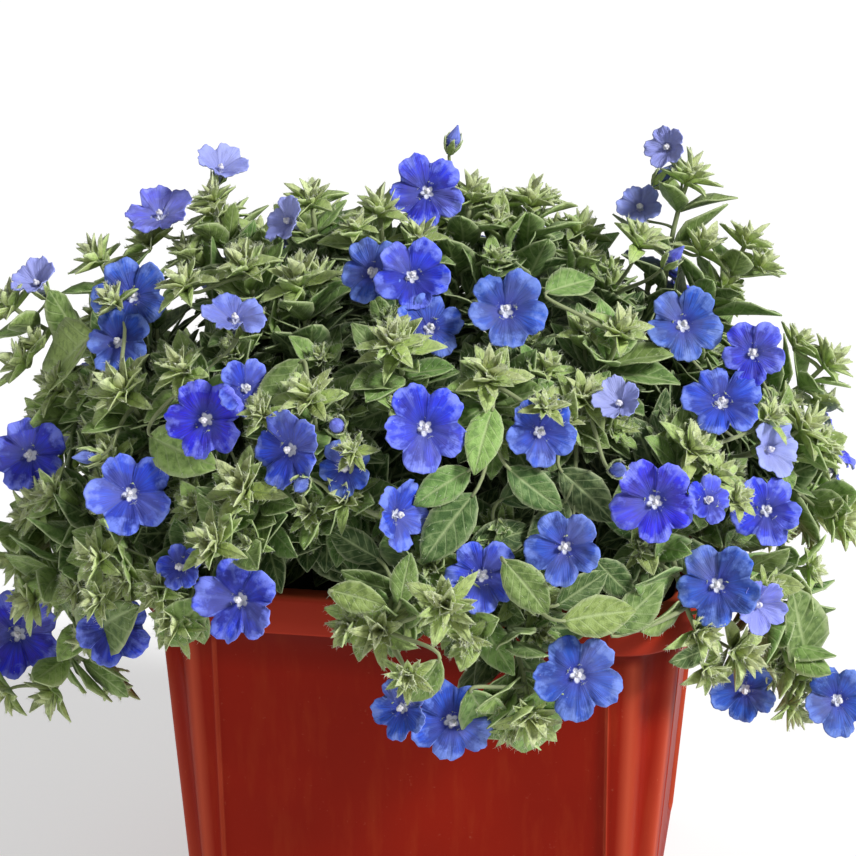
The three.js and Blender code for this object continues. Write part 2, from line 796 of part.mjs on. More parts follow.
// One group of blooms at a share of its distance. Each after the first slides along the line of sight, or
// towards the first if it is behind the plant, until it touches those before it
function bloom_group(group, draw, share) {
  const members = [];
  let solid = null;
  for (const data of group) {
    const spot = position(data, share);
    const axis = bloom_axis(data, spot);
    const shape = {
      axis,
      across: data.across,
      flare: data.flare ?? OPEN_FLARE,
      phase: draw(0, 72),
      corners: data.round || data.across < LARGE_BLOOM ? [36] : [22, 50],
    };
    const goal = members[0]?.centre ?? UP;
    const way = (data.seen ? spot.clone().sub(EYE) : goal.clone().sub(spot)).normalize();
    const slides = solid ? SLIDES : [0];
    const tries = slides.map((slide) => {
      const centre = spot.clone().addScaledVector(way, slide);
      return { centre, axis, solid: bloom({ centre, ...shape }) };
    });
    const found = tries.find((one) => !solid || solid.add(one.solid).decompose().length === 1);
    if (!found) return null;
    members.push(found);
    solid = solid ? solid.add(found.solid) : found.solid;
  }
  return { members, solid };
}

function grow_blooms(spray, index) {
  return spray.blooms.map((group, g) => {
    const node = `bloom_${spray.name}_${g + 1}`;
    const make = (attempt) => {
      return bloom_group(group, random_source(1000 * (index + 1) + 10 * g + 1), BLOOM_SHARES[attempt]);
    };
    const made = sure(first_clear(BLOOM_SHARES.length, make, node, []), node);
    place(made.solid, node, node);
    return { ...made, node };
  });
}

// The main stem of one spray, from its foot in the soil to its fork under the middle of the tips
function grow_main_stem(spray, index, node) {
  const middle = spray.tips
    .reduce((sum, data) => sum.add(position(data, TIP_SHARES[0])), point(0, 0, 0))
    .divideScalar(spray.tips.length);
  const root = point(...spray.root, SOIL_TOP + SOIL_CROWN + 3);
  const foot = root.clone().setZ(SOIL_TOP - STEM_DEPTH);
  const arrive = middle.clone().sub(root);
  arrive.setZ(Math.max(arrive.z, 15)).normalize();
  const make = (attempt) => {
    const draw = random_source(5000 + 100 * index + attempt);
    const fork = mix(root, middle, FORK_SHARE);
    fork.z = Math.max(fork.z, POT_HEIGHT + 12);
    if (attempt) fork.add(stray(draw, 9));
    const way = course(root, UP, fork, arrive, [0, 0.35, 0.7, 1]);
    const radii = way.steps.map((t) => THREE.MathUtils.lerp(MAIN_STEM_RADIUS, FORK_RADIUS, t));
    const solid = tube([foot, ...way.points], [UP, ...way.directions], [MAIN_STEM_RADIUS, ...radii], 4);
    return { ...way, solid, key: `${node} main` };
  };
  const main = sure(first_clear(MAIN_TRIES, make, node, []), node);
  place(main.solid, node, main.key);
  return main;
}

// The shoots of one spray, one to each tip. Low ones climb over the planter's rim and come down outside it.
// They are tried with a sleeve round them, which leaves room for their whorls
function grow_shoots(spray, index, node, main) {
  const shoots = [];
  spray.tips.forEach((data, k) => {
    const make = (attempt) => {
      const draw = random_source(9000 + 800 * index + 80 * k + attempt);
      const sway = 0.04 * attempt;
      const tip = position(data, TIP_SHARES[attempt % TIP_SHARES.length]).add(stray(draw, 3 * sway));
      const out = outward(tip);
      const fall = THREE.MathUtils.clamp((tip.z - POT_HEIGHT - 20) / 40, -0.9, 0.8);
      const t = 1 - 0.15 * ((k + Math.floor(attempt / 8)) % spray.tips.length);
      const start = main.at(t);
      const leave = tip.clone().sub(start).normalize().multiplyScalar(1.2).add(main.along(t));
      leave.addScaledVector(UP, fall < 0 ? 1.4 : 0.1).add(stray(draw, sway)).normalize();
      const arrive = out.clone().addScaledVector(UP, fall).add(stray(draw, sway)).normalize();
      const way = course(start, leave, tip, arrive, [0, 0.3, 0.62, 1]);
      const tuft = {
        tip,
        axis: out.clone().addScaledVector(UP, 0.35).normalize(),
        radius: data.size ?? TUFT_RADIUS,
        turn: 37 * k,
      };
      const sleeve = tube(way.points, way.directions, way.steps.map(() => SLEEVE_RADIUS), 6);
      return { ...way, tuft, solid: sleeve.add(leafy_shoot(way, [], tuft)), key: `${node} shoot ${k}` };
    };
    const own = [main.key, ...shoots.map((shoot) => shoot.key)];
    const shoot = sure(first_clear(SHOOT_TRIES, make, node, own), `${node} ${k}`);
    place(shoot.solid, node, shoot.key);
    shoots.push(shoot);
  });
  return shoots;
}

// The flower stalks of one spray, each from the nearest stem with a clear way to the bloom's foot, where
// it widens to a calyx that the bloom sits on
function grow_stalks(groups, index, node, stems) {
  const stalks = [];
  groups.forEach((group, g) => {
    group.members.forEach((member, m) => {
      const end = member.centre.clone().addScaledVector(member.axis, -(BLOOM_TUBE + GAP));
      const starts = stems
        .flatMap((stem) => STALK_STARTS.map((t) => ({ host: stem.key, from: stem.at(t) })))
        .sort((a, b) => a.from.distanceTo(end) - b.from.distanceTo(end))
        .slice(0, NEAREST_STARTS);
      const make = (attempt) => {
        const { host, from } = starts[attempt % NEAREST_STARTS];
        const draw = random_source(20000 + 1000 * index + 100 * g + 10 * m + attempt);
        const leave = end.clone().sub(from).normalize().addScaledVector(outward(from), 0.3);
        leave.add(stray(draw, 0.25 * Math.floor(attempt / NEAREST_STARTS))).normalize();
        const way = course(from, leave, end, member.axis, [0, 0.6, 1]);
        const solid = tube(way.points, way.directions, [STALK_RADIUS, STALK_RADIUS, CALYX_RADIUS], 3);
        return solid.minGap(group.solid, 1) < 0.3 ? null : { ...way, solid, host };
      };
      const found = first_clear(STALK_ROUNDS * NEAREST_STARTS, make, node, [group.node]);
      const stalk = sure(found, `stalk of ${group.node}`);
      stalks.push(place(stalk.solid, node, `${node} stalk ${g} ${m}`));
    });
  });
  return stalks;
}

// The whorls of one shoot, at set distances below its tip and turned by a sixth of a turn from one to the
// next. A leaf that has no clear place is smaller, leans another way or is left out
function grow_whorls(shoot, node, number) {
  const whorls = WHORLS.map(({ depth, leaf_length, count }, i) => {
    const t = 1 - depth / shoot.length;
    const along = shoot.along(t);
    const [side, over] = square_to(along);
    const phase = 60 * i + 25 * number;
    const leaves = [0, 1, 2].map((k) => {
      if (k >= count || t < LOWEST_WHORL) return null;
      const draw = random_source(70000 + 97 * number + 11 * i + k);
      const turn = radians(phase + 120 * k);
      const away = side.clone().multiplyScalar(Math.cos(turn)).addScaledVector(over, Math.sin(turn));
      const root = shoot.at(t).addScaledVector(away, shoot_radius(t));
      const full = leaf_length * draw(0.85, 1.12);
      const lean = draw(50, 68);
      const make = (attempt) => {
        const [share, more] = LEAF_TRIES[attempt];
        const tilt = radians(lean + more);
        const direction = along.clone().multiplyScalar(Math.cos(tilt));
        direction.addScaledVector(away, Math.sin(tilt));
        const above = along.clone().addScaledVector(UP, 0.35).addScaledVector(outward(root), 0.35);
        above.addScaledVector(direction, -above.dot(direction)).normalize();
        const data = { root, along: direction, above, length: full * share };
        return { data, solid: lone_leaf(data) };
      };
      const made = first_clear(LEAF_TRIES.length, make, node, [shoot.key]);
      if (made) place(made.solid, node, `${shoot.key} leaf ${i} ${k}`);
      return made?.data;
    });
    return { t, phase, leaves };
  });
  return whorls.filter(({ leaves }) => leaves.some(Boolean));
}

// Assembly

const finishes = {
  planter: { color: 0x8f2a14, roughness: 0.35, metalness: 0 },
  soil: { color: 0x3a2a1e, roughness: 0.95, metalness: 0 },
  foliage: { color: 0x6d8c47, roughness: 0.8, metalness: 0 },
  petals: { color: 0x4a63dd, roughness: 0.55, metalness: 0 },
};

const plant = new THREE.Group();
function add(solid, name, finish) {
  const part = new THREE.Mesh(geometry_of(solid), new THREE.MeshStandardMaterial(finishes[finish]));
  part.name = name;
  plant.add(part);
}

add(place(planter(), "planter", "planter"), "planter", "planter");
add(place(soil(), "potting_soil", "potting_soil"), "potting_soil", "soil");

const blooms = SPRAYS.map(grow_blooms);
const sprays = SPRAYS.map((spray, index) => {
  const node = `leafy_stem_${spray.name}`;
  const main = grow_main_stem(spray, index, node);
  return { node, main, shoots: grow_shoots(spray, index, node, main) };
});
sprays.forEach((spray, index) => {
  spray.stalks = grow_stalks(blooms[index], index, spray.node, [spray.main, ...spray.shoots]);
});
sprays.forEach(({ node, main, shoots, stalks }) => {
  const leafy = shoots.map((shoot, k) => leafy_shoot(shoot, grow_whorls(shoot, node, k), shoot.tuft));
  add(merged(wasm.Manifold.union([main.solid, ...leafy, ...stalks])), node, "foliage");
});
blooms.flat().forEach(({ solid, node }) => add(merged(solid), node, "petals"));

export default plant;
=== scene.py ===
# %% [markdown]
# # A dwarf morning glory in a square planter
#
# This lesson dresses a plain mechanical model of a potted plant as the real thing. The plant is a dwarf
# morning glory (Evolvulus): a low mound of silky, grey-green leaves with blue five-lobed flowers about
# 24 mm across. It grows in a rust-red moulded planter with fluted corners, 159 mm wide and 140 mm high.
# The plain model is loaded first. Its stems, leaves and flowers were placed by rule, so the same rules are
# worked out here again, and a finer piece is made in each of the same places. Lengths are in millimetres
# until a mesh is made, because the sizes of a plant are easier to think about that way.

import math

import bpy
import mathutils
import numpy as np
from mathutils.kdtree import KDTree
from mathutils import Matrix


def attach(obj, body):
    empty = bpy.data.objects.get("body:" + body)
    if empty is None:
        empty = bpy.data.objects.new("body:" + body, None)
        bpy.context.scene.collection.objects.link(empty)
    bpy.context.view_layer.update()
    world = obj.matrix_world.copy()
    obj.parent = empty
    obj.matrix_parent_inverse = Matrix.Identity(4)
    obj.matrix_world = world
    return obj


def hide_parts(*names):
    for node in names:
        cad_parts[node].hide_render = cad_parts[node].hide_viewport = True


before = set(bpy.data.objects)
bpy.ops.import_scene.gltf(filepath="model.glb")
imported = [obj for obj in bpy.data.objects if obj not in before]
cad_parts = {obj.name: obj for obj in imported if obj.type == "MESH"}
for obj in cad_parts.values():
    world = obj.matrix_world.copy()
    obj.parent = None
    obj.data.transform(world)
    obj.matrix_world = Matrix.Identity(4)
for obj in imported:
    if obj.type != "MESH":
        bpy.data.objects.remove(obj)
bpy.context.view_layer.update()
MM = 0.001
UP = np.array([0.0, 0.0, 1.0])


def unit(v):
    """v divided by its length, for one vector or for rows of them."""
    v = np.asarray(v, float)
    return v / np.linalg.norm(v, axis=-1, keepdims=True)


def random_source(seed):
    """Repeatable random numbers: the minimal standard generator, x -> 48271 x mod (2^31 - 1)."""
    state = seed

    def draw(low=0.0, high=1.0):
        nonlocal state
        state = state * 48271 % 2147483647
        return low + (high - low) * state / 2147483647

    return draw


# %% [markdown]
# ## The mound and where things sit on it
#
# A dwarf morning glory spreads to a mound, here the two halves of an ellipsoid. A flower or a shoot tip is
# given as a position in a picture of 856 x 856 pixels, and the line of sight through it meets the mound at
# the piece's place. What is behind is given by bearing and rise instead. This keeps every piece on the
# surface where the light reaches it, which is where a real plant carries its leaves and flowers.

# %% The mound, the viewpoint and directions
POT_HEIGHT = 140.0
SOIL_TOP = 125.0
SOIL_CROWN = 3.0
MIDDLE = np.array([-6.5, -1.0, POT_HEIGHT + 1.5])
ACROSS, DEEP, RISE, FALL = 130.0, 116.0, 104.0, 80.0
AZIMUTH, ELEVATION = math.radians(9), math.radians(20)
EYE_DISTANCE, ASIDE, AIM_HEIGHT, FOCAL, IMAGE_SIZE = 900.0, -6.6, POT_HEIGHT + 24.5, 2846.0, 856.0
BACK = np.array([
    math.sin(AZIMUTH) * math.cos(ELEVATION),
    -math.cos(AZIMUTH) * math.cos(ELEVATION),
    math.sin(ELEVATION),
])
RIGHT = np.array([math.cos(AZIMUTH), math.sin(AZIMUTH), 0.0])
TOP = np.cross(BACK, RIGHT)
EYE = np.array([0, 0, AIM_HEIGHT]) + BACK * EYE_DISTANCE + RIGHT * ASIDE


def mound_axes(points):
    """Half axes of the mound for each point: its upper half is higher than its lower half is deep."""
    points = np.atleast_2d(points)
    height = np.where(points[:, 2] > MIDDLE[2], RISE, FALL)
    return np.stack([np.full(len(points), ACROSS), np.full(len(points), DEEP), height], 1)


def outward(points):
    """Outward direction of the mound's surface: (p - middle) / axes^2, made a unit length."""
    points = np.asarray(points, float)
    found = unit((np.atleast_2d(points) - MIDDLE) / mound_axes(points) ** 2)
    return found[0] if points.ndim == 1 else found


def mound_share(points):
    """How far out points lie: 0 in the middle of the mound, 1 on its surface."""
    return np.linalg.norm((np.atleast_2d(points) - MIDDLE) / mound_axes(points), axis=1)


def seen_at(column, row, share):
    """Where the line of sight through a picture position meets the mound, scaled by share."""
    sight = unit(-FOCAL * BACK + (column - IMAGE_SIZE / 2) * RIGHT + (IMAGE_SIZE / 2 - row) * TOP)

    def meet(height):
        scale = 1 / np.array([ACROSS, DEEP, height])
        o, d = (EYE - MIDDLE) * scale, sight * scale
        aa, bb, cc = d @ d, o @ d, o @ o - share * share
        return EYE + sight * (-bb - math.sqrt(max(0, bb * bb - aa * cc))) / aa

    upper = meet(RISE)
    return upper if upper[2] >= MIDDLE[2] else meet(FALL)


def at_bearing(bearing, rise, share):
    """A point of the mound by its bearing, 0 at the front, and its rise, both in degrees."""
    b, r = math.radians(bearing), math.radians(rise)
    height = RISE if rise > 0 else FALL
    way = [math.cos(r) * math.sin(b) * ACROSS, -math.cos(r) * math.cos(b) * DEEP, math.sin(r) * height]
    return MIDDLE + share * np.array(way)


def turned(v, axis, degrees):
    """v turned about an axis: v cos a + (axis x v) sin a + axis (axis . v) (1 - cos a)."""
    a = math.radians(degrees)
    return v * math.cos(a) + np.cross(axis, v) * math.sin(a) + axis * (axis @ v) * (1 - math.cos(a))


def square_to(axis):
    """Two directions square to an axis: the first is level, and the second completes the turn."""
    side = np.cross(UP, axis)
    side = np.array([1.0, 0, 0]) if np.linalg.norm(side) < 0.05 else unit(side)
    return side, np.cross(axis, side)


# %% [markdown]
# ## The sprays
#
# The plant is made of sprays, as a real one is: a stem rises from the soil, forks into leafy shoots, and
# carries flowers on thread-like stalks. Each entry says where the stem stands, where the tips of its shoots
# are and where its flowers open. turn and lift say which way a flower faces, flare how far it has opened, and
# clear how much of its half width leaves keep off. size is the reach of a tuft of leaves, and share moves a
# piece in or out from the mound's surface. Flowers that touch are listed together.

# %% Where stems stand, shoots end and flowers open
SPRAYS = [
    dict(
        name="left_low",
        root=(-42, -20),
        tips=[
            dict(seen=(180, 620)),
            dict(seen=(35, 600)),
            dict(seen=(55, 690), share=0.95),
        ],
        blooms=[
            [dict(seen=(240, 600), across=25, turn=-25, lift=0, share=0.97)],
            [dict(seen=(112, 628), across=22, turn=10, lift=-10, clear=0.5)],
            [dict(seen=(18, 634), across=26, turn=0, lift=0)],
        ],
    ),
    dict(
        name="left_middle",
        root=(-44, -4),
        tips=[
            dict(seen=(125, 395), size=14),
            dict(seen=(45, 505)),
            dict(seen=(20, 560)),
            dict(seen=(100, 560)),
        ],
        blooms=[
            [dict(seen=(30, 455), across=24, turn=-10, lift=10)],
            [dict(seen=(130, 494), across=24, turn=0, lift=5)],
            [dict(seen=(180, 567), across=14, turn=-20, lift=10, clear=0.4)],
        ],
    ),
    dict(
        name="left_top",
        root=(-42, 14),
        tips=[
            dict(seen=(20, 300)),
            dict(seen=(100, 262)),
            dict(seen=(60, 390)),
        ],
        blooms=[
            [dict(seen=(38, 285), across=16, turn=-30, lift=40, flare=45)],
            [
                dict(seen=(132, 296), across=24, turn=0, lift=15, clear=0.5),
                dict(seen=(118, 342), across=20, turn=-10, lift=20, clear=0.5),
            ],
        ],
    ),
    dict(
        name="upper_left",
        root=(-26, 12),
        tips=[
            dict(seen=(185, 372)),
            dict(seen=(215, 215)),
            dict(seen=(312, 205), share=1.02),
            dict(seen=(245, 270)),
        ],
        blooms=[
            [dict(seen=(160, 216), across=22, turn=-10, lift=50, flare=70)],
            [dict(seen=(220, 170), across=18, turn=20, lift=45, flare=55, share=1.06)],
            [dict(seen=(235, 320), across=19, turn=0, lift=50, flare=70, clear=0.5)],
            [dict(seen=(290, 222), across=16, turn=-45, lift=20, flare=60)],
        ],
    ),
    dict(
        name="centre_left",
        root=(-22, -34),
        tips=[
            dict(seen=(245, 490), size=13),
            dict(seen=(300, 285), size=13),
            dict(seen=(310, 400)),
            dict(seen=(215, 545)),
        ],
        blooms=[
            [
                dict(seen=(205, 420), across=24, turn=-15, lift=-5),
                dict(seen=(246, 388), across=18, turn=25, lift=5, clear=0.5),
            ],
            [dict(seen=(290, 450), across=22, turn=-35, lift=0, clear=0.55)],
        ],
    ),
    dict(
        name="centre",
        root=(-4, -12),
        tips=[
            dict(seen=(400, 350), size=13),
            dict(seen=(345, 500)),
            dict(seen=(470, 200)),
            dict(seen=(380, 215)),
        ],
        blooms=[
            [
                dict(seen=(372, 272), across=20, turn=-20, lift=10, share=0.98, clear=0.5),
                dict(seen=(412, 276), across=22, turn=5, lift=15),
                dict(seen=(430, 328), across=20, turn=10, lift=20, share=0.98),
            ],
            [dict(seen=(427, 192), across=22, turn=0, lift=5, share=1.02)],
            [dict(seen=(425, 428), across=25, turn=5, lift=5)],
            [dict(seen=(397, 515), across=20, turn=50, lift=0, share=0.97)],
            [dict(seen=(345, 468), across=16, turn=-10, lift=-10, share=0.94, clear=0.3)],
        ],
    ),
    dict(
        name="front_middle",
        root=(8, -42),
        tips=[
            dict(seen=(455, 600), size=14, share=1.02),
            dict(seen=(380, 630)),
            dict(seen=(530, 715)),
            dict(seen=(520, 590)),
        ],
        blooms=[
            [
                dict(seen=(452, 722), across=24, turn=10, lift=-5),
                dict(seen=(402, 708), across=18, turn=-30, lift=0, clear=0.5),
            ],
            [dict(seen=(578, 675), across=25, turn=0, lift=0, share=1.02)],
            [dict(seen=(482, 575), across=21, turn=0, lift=5, share=0.93, clear=0.45)],
        ],
    ),
    dict(
        name="centre_right",
        root=(18, -22),
        tips=[
            dict(seen=(490, 380), size=12),
            dict(seen=(585, 400)),
            dict(seen=(530, 205)),
            dict(seen=(620, 335)),
        ],
        blooms=[
            [dict(seen=(506, 310), across=24, turn=5, lift=20)],
            [dict(seen=(540, 432), across=20, turn=15, lift=0, share=0.97, clear=0.5)],
            [dict(seen=(565, 547), across=22, turn=-10, lift=5)],
            [dict(seen=(620, 405), across=14, turn=-20, lift=30, flare=55)],
        ],
    ),
    dict(
        name="right_top",
        root=(25, 4),
        tips=[
            dict(seen=(690, 175), share=1.04),
            dict(seen=(745, 245)),
            dict(seen=(825, 365)),
            dict(seen=(800, 430)),
        ],
        blooms=[
            [dict(seen=(668, 148), across=14, turn=-30, lift=10, flare=60, share=1.08)],
            [dict(seen=(640, 208), across=14, turn=-10, lift=25, flare=65)],
            [dict(seen=(683, 325), across=23, turn=10, lift=15)],
            [
                dict(seen=(753, 353), across=19, turn=-5, lift=10),
                dict(seen=(722, 402), across=23, turn=0, lift=30),
            ],
            [dict(seen=(768, 450), across=18, turn=40, lift=10, flare=60)],
        ],
    ),
    dict(
        name="right_low",
        root=(42, -18),
        tips=[
            dict(seen=(795, 680)),
            dict(seen=(840, 510)),
            dict(seen=(700, 630)),
            dict(seen=(690, 450)),
        ],
        blooms=[
            [
                dict(seen=(655, 502), across=25, turn=0, lift=0),
                dict(seen=(708, 500), across=14, turn=20, lift=10, share=0.97, clear=0.4),
            ],
            [dict(seen=(767, 510), across=21, turn=10, lift=10)],
            [
                dict(seen=(717, 585), across=24, turn=-5, lift=5),
                dict(seen=(757, 604), across=16, turn=25, lift=-10, flare=65),
            ],
            [dict(seen=(745, 690), across=20, turn=-10, lift=-15)],
            [dict(seen=(838, 700), across=22, turn=10, lift=0)],
        ],
    ),
]

# %% [markdown]
# Some broad leaves, some tufts that half hide a flower or fill out the edges of the mound, and some closed
# buds catch the eye at the front. They are given by their places too. A leaf has its foot and its tip, and an
# age from 0 for a young one to 1 for an old one.

# %% Broad leaves, near tufts and buds
BROAD_LEAVES = [
    dict(foot=(562, 621), tip=(633, 612), share=1.02, age=0.4),
    dict(foot=(545, 688), tip=(524, 750), share=1.03, age=0.45),
    dict(foot=(493, 408), tip=(476, 470), share=0.99, age=0.45),
    dict(foot=(504, 560), tip=(546, 614), share=1.0, age=0.5),
    dict(foot=(474, 494), tip=(424, 560), share=0.93, age=0.8),
    dict(foot=(302, 360), tip=(257, 416), share=0.98, age=0.6),
    dict(foot=(78, 546), tip=(142, 594), share=1.0, age=0.35),
    dict(foot=(150, 436), tip=(214, 466), share=0.98, age=0.4),
    dict(foot=(508, 468), tip=(560, 508), share=0.92, age=0.75),
    dict(foot=(470, 470), tip=(416, 504), share=0.94, age=0.6),
    dict(foot=(92, 334), tip=(32, 386), share=1.0, age=0.35),
    dict(foot=(546, 292), tip=(594, 276), share=0.99, age=0.55),
    dict(foot=(808, 662), tip=(798, 594), share=1.0, age=0.6),
    dict(foot=(612, 632), tip=(664, 586), share=0.97, age=0.6),
    dict(foot=(596, 560), tip=(632, 596), share=0.92, age=0.85),
    dict(foot=(560, 470), tip=(612, 520), share=0.88, age=0.9),
    dict(foot=(470, 545), tip=(532, 530), share=0.86, age=0.95),
    dict(foot=(566, 500), tip=(530, 560), share=0.87, age=0.9),
    dict(foot=(500, 500), tip=(556, 476), share=0.86, age=0.95),
    dict(foot=(330, 590), tip=(384, 606), share=1.0, age=0.4),
    dict(foot=(400, 604), tip=(410, 556), share=0.98, age=0.5),
    dict(foot=(160, 640), tip=(204, 604), share=1.0, age=0.5),
    dict(foot=(440, 660), tip=(412, 700), share=1.03, age=0.5),
    dict(foot=(470, 690), tip=(500, 740), share=1.0, age=0.6),
    dict(foot=(640, 560), tip=(598, 590), share=0.9, age=0.8),
    dict(foot=(84, 640), tip=(130, 612), share=1.03, age=0.6),
    dict(foot=(708, 648), tip=(672, 662), share=1.0, age=0.8),
    dict(foot=(556, 606), tip=(606, 574), share=0.95, age=0.85),
    dict(foot=(380, 560), tip=(330, 530), share=0.9, age=0.85),
]
NEAR_TUFTS = [
    dict(seen=(116, 303), size=8, share=1.03),
    dict(seen=(545, 408), size=7, share=1.02),
    dict(seen=(446, 606), size=12, share=1.06),
    dict(seen=(352, 452), size=7, share=1.0),
    dict(seen=(408, 676), size=8, share=1.05),
    dict(seen=(392, 345), size=10, share=1.02),
    dict(seen=(735, 500), size=7, share=1.02),
    dict(seen=(262, 415), size=8, share=1.0),
    dict(seen=(100, 600), size=8, share=1.04),
    dict(seen=(770, 420), size=8, share=1.03),
    dict(seen=(24, 366), size=12, share=1.0),
    dict(seen=(40, 346), size=9, share=1.0),
    dict(seen=(8, 690), size=9, share=1.0),
    dict(seen=(150, 244), size=10, share=1.0),
    dict(seen=(186, 288), size=11, share=1.0),
    dict(seen=(214, 200), size=8, share=1.05),
    dict(seen=(640, 246), size=11, share=1.0),
    dict(seen=(686, 182), size=9, share=1.08),
    dict(seen=(700, 252), size=12, share=1.0),
    dict(seen=(760, 268), size=9, share=1.0),
    dict(seen=(795, 345), size=9, share=1.0),
    dict(seen=(706, 668), size=9, share=1.0),
    dict(seen=(735, 650), size=12, share=1.0),
    dict(seen=(770, 668), size=10, share=1.0),
    dict(seen=(790, 706), size=9, share=1.02),
]
BUDS = [
    dict(seen=(450, 151), share=1.1, lift=70),
    dict(seen=(655, 184), share=1.06, lift=40),
    dict(seen=(665, 266), share=1.0, lift=50),
    dict(seen=(98, 456), share=1.0, lift=10),
    dict(seen=(306, 480), share=0.98, lift=0),
    dict(seen=(340, 428), share=0.99, lift=30),
    dict(seen=(612, 470), share=0.99, lift=20),
]

# %% [markdown]
# The four sprays behind follow a rule: shoots on both sides of a bearing at four rises, a group of three
# flowers above and a pair below. The upper ones keep a tenth lower than the mound, so that the outline dips
# between the flowers in front, as on the real plant.

# %% The sprays behind
BACK_TOP_SHARE = 0.9
for index, bearing in enumerate([114, 154, -162, -118]):
    draw = random_source(301 + index)
    tips = []
    for k, rise in enumerate([56, 32, 4, -22]):
        spot = (bearing + (16 if k % 2 else -14) + draw(-4, 4), rise + draw(-4, 4))
        tips.append(dict(round=spot, share=1 if k else BACK_TOP_SHARE))
    groups = []
    for k, rise in enumerate([40, 8]):
        side = bearing + (1 if bearing > 0 else -1) * (-13 if k else 12)
        group = []
        for i in range(2 if k else 3):
            a = math.radians(90 + (180 if k else 120) * i + 40 * k)
            spot = (side + 4.8 * math.cos(a), rise + 4.8 * math.sin(a))
            group.append(dict(
                round=spot, share=1 if k else BACK_TOP_SHARE,
                across=draw(21, 25), turn=draw(-10, 10), lift=draw(0, 12),
            ))
        groups.append(group)
    root = turned(np.array([0, -40.0, 0]), UP, bearing)
    SPRAYS.append(dict(name=f"behind_{index + 1}", root=(root[0], root[1]), tips=tips, blooms=groups))
print(len(SPRAYS), "sprays with", sum(len(s["tips"]) for s in SPRAYS), "shoots")

# %% [markdown]
# ## Finding each piece in the plain model
#
# When the plain model grew, each piece was tried in several positions and kept the first with a clear way.
# The same tries are listed here, and the one whose corners lie on corners of the plain model is the one
# that was kept. A search tree of a node's corners makes each of those comparisons quick.

# %% How a kept try is recognised
CORNER_REACH = 0.06
corner_trees = {}
for name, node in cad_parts.items():
    corners = np.empty(3 * len(node.data.vertices), np.float32)
    node.data.vertices.foreach_get("co", corners)
    corners = np.unique(corners.reshape(-1, 3) / MM, axis=0)
    tree = KDTree(len(corners))
    for i, corner in enumerate(corners):
        tree.insert(corner, i)
    tree.balance()
    corner_trees[name] = tree


def share_found(node, points):
    """The share of points that lie on corners of a node of the plain model."""
    tree = corner_trees[node]
    return sum(tree.find(p)[2] < CORNER_REACH for p in points) / len(points)


def best_try(tries, node, corners_of):
    """The try whose corners are found best, and the share of them that is found."""
    scored = [(share_found(node, corners_of(one)), -i) for i, one in enumerate(tries)]
    score, i = max(scored)
    return tries[-i], score


# %% Courses of stems, and the rings of corners round them
LEAVE_SHARE, ARRIVE_SHARE = 0.38, 0.34


class Course:
    """A cubic curve with handles along its first and last directions.

    point(t) = (1-t)^3 a + 3(1-t)^2 t b + 3(1-t) t^2 c + t^3 d. The plain model follows it in straight
    steps, which stepped(t) gives."""

    def __init__(self, start, leave, end, arrive, steps):
        reach = np.linalg.norm(end - start)
        self.handles = np.array([
            start,
            start + leave * LEAVE_SHARE * reach,
            end - arrive * ARRIVE_SHARE * reach,
            end,
        ])
        self.steps = np.array(steps)
        self.corners = self.point(self.steps)
        self.length = np.linalg.norm(np.diff(self.corners, axis=0), axis=1).sum()

    def point(self, t):
        t = np.asarray(t, float)[..., None]
        a, b, c, d = self.handles
        return (1 - t) ** 3 * a + 3 * (1 - t) ** 2 * t * b + 3 * (1 - t) * t**2 * c + t**3 * d

    def along(self, t):
        t = np.asarray(t, float)[..., None]
        a, b, c, d = self.handles
        return unit((1 - t) ** 2 * (b - a) + 2 * (1 - t) * t * (c - b) + t**2 * (d - c))

    def stepped(self, t):
        i = min(np.searchsorted(self.steps, t, side="right") - 1, len(self.steps) - 2)
        share = (t - self.steps[i]) / (self.steps[i + 1] - self.steps[i])
        return self.corners[i] + share * (self.corners[i + 1] - self.corners[i])

    def restarted(self, start):
        """The same curve from another start close by."""
        again = Course(self.handles[0], UP, self.handles[3], UP, self.steps)
        again.handles = self.handles.copy()
        again.handles[0] = start
        return again


def rings(course, radii, sides):
    """Corners round a course at its steps: p + r (side cos a + over sin a), side carried along the way."""
    side = square_to(course.along(0.0))[0]
    found = []
    for t, p, radius in zip(course.steps, course.corners, radii):
        along = course.along(t)
        side = unit(side - along * (side @ along))
        over = np.cross(along, side)
        for k in range(sides):
            a = 2 * math.pi * k / sides
            found.append(p + radius * (side * math.cos(a) + over * math.sin(a)))
    return found


def stray(draw, reach):
    """A random step of up to reach along each axis."""
    return np.array([draw(-reach, reach), draw(-reach, reach), draw(-reach, reach)])


def position(data, share):
    """Where a tip or a flower sits, from what its entry says."""
    whole = data.get("share", 1) * share
    return seen_at(*data["seen"], whole) if "seen" in data else at_bearing(*data["round"], whole)


# %% The flowers that were kept
BLOOM_SHARES = [1, 0.96, 1.04, 0.92, 1.08, 0.88]
SLIDES = [0, 1.5, -1.5, 3, -3, 4.5, -4.5, 6, -6, 8, -8, 10, -10, 12, -12]
OPEN_FLARE, LARGE_BLOOM, CLEFT_SHARE, BLOOM_TUBE, GAP = 78, 24, 0.86, 5.5, 0.35
CLEAR_SHARE = 0.8


def bloom_axis(data, centre):
    """The way a flower faces: turned from the eye, or from the mound's surface for those behind."""
    if "seen" in data:
        t, l = math.radians(data["turn"]), math.radians(data["lift"])
        return BACK * math.cos(t) * math.cos(l) + RIGHT * math.sin(t) * math.cos(l) + TOP * math.sin(l)
    out = outward(centre)
    side = unit(np.cross(UP, out))
    return unit(turned(turned(out, UP, data["turn"]), side, -data["lift"]))


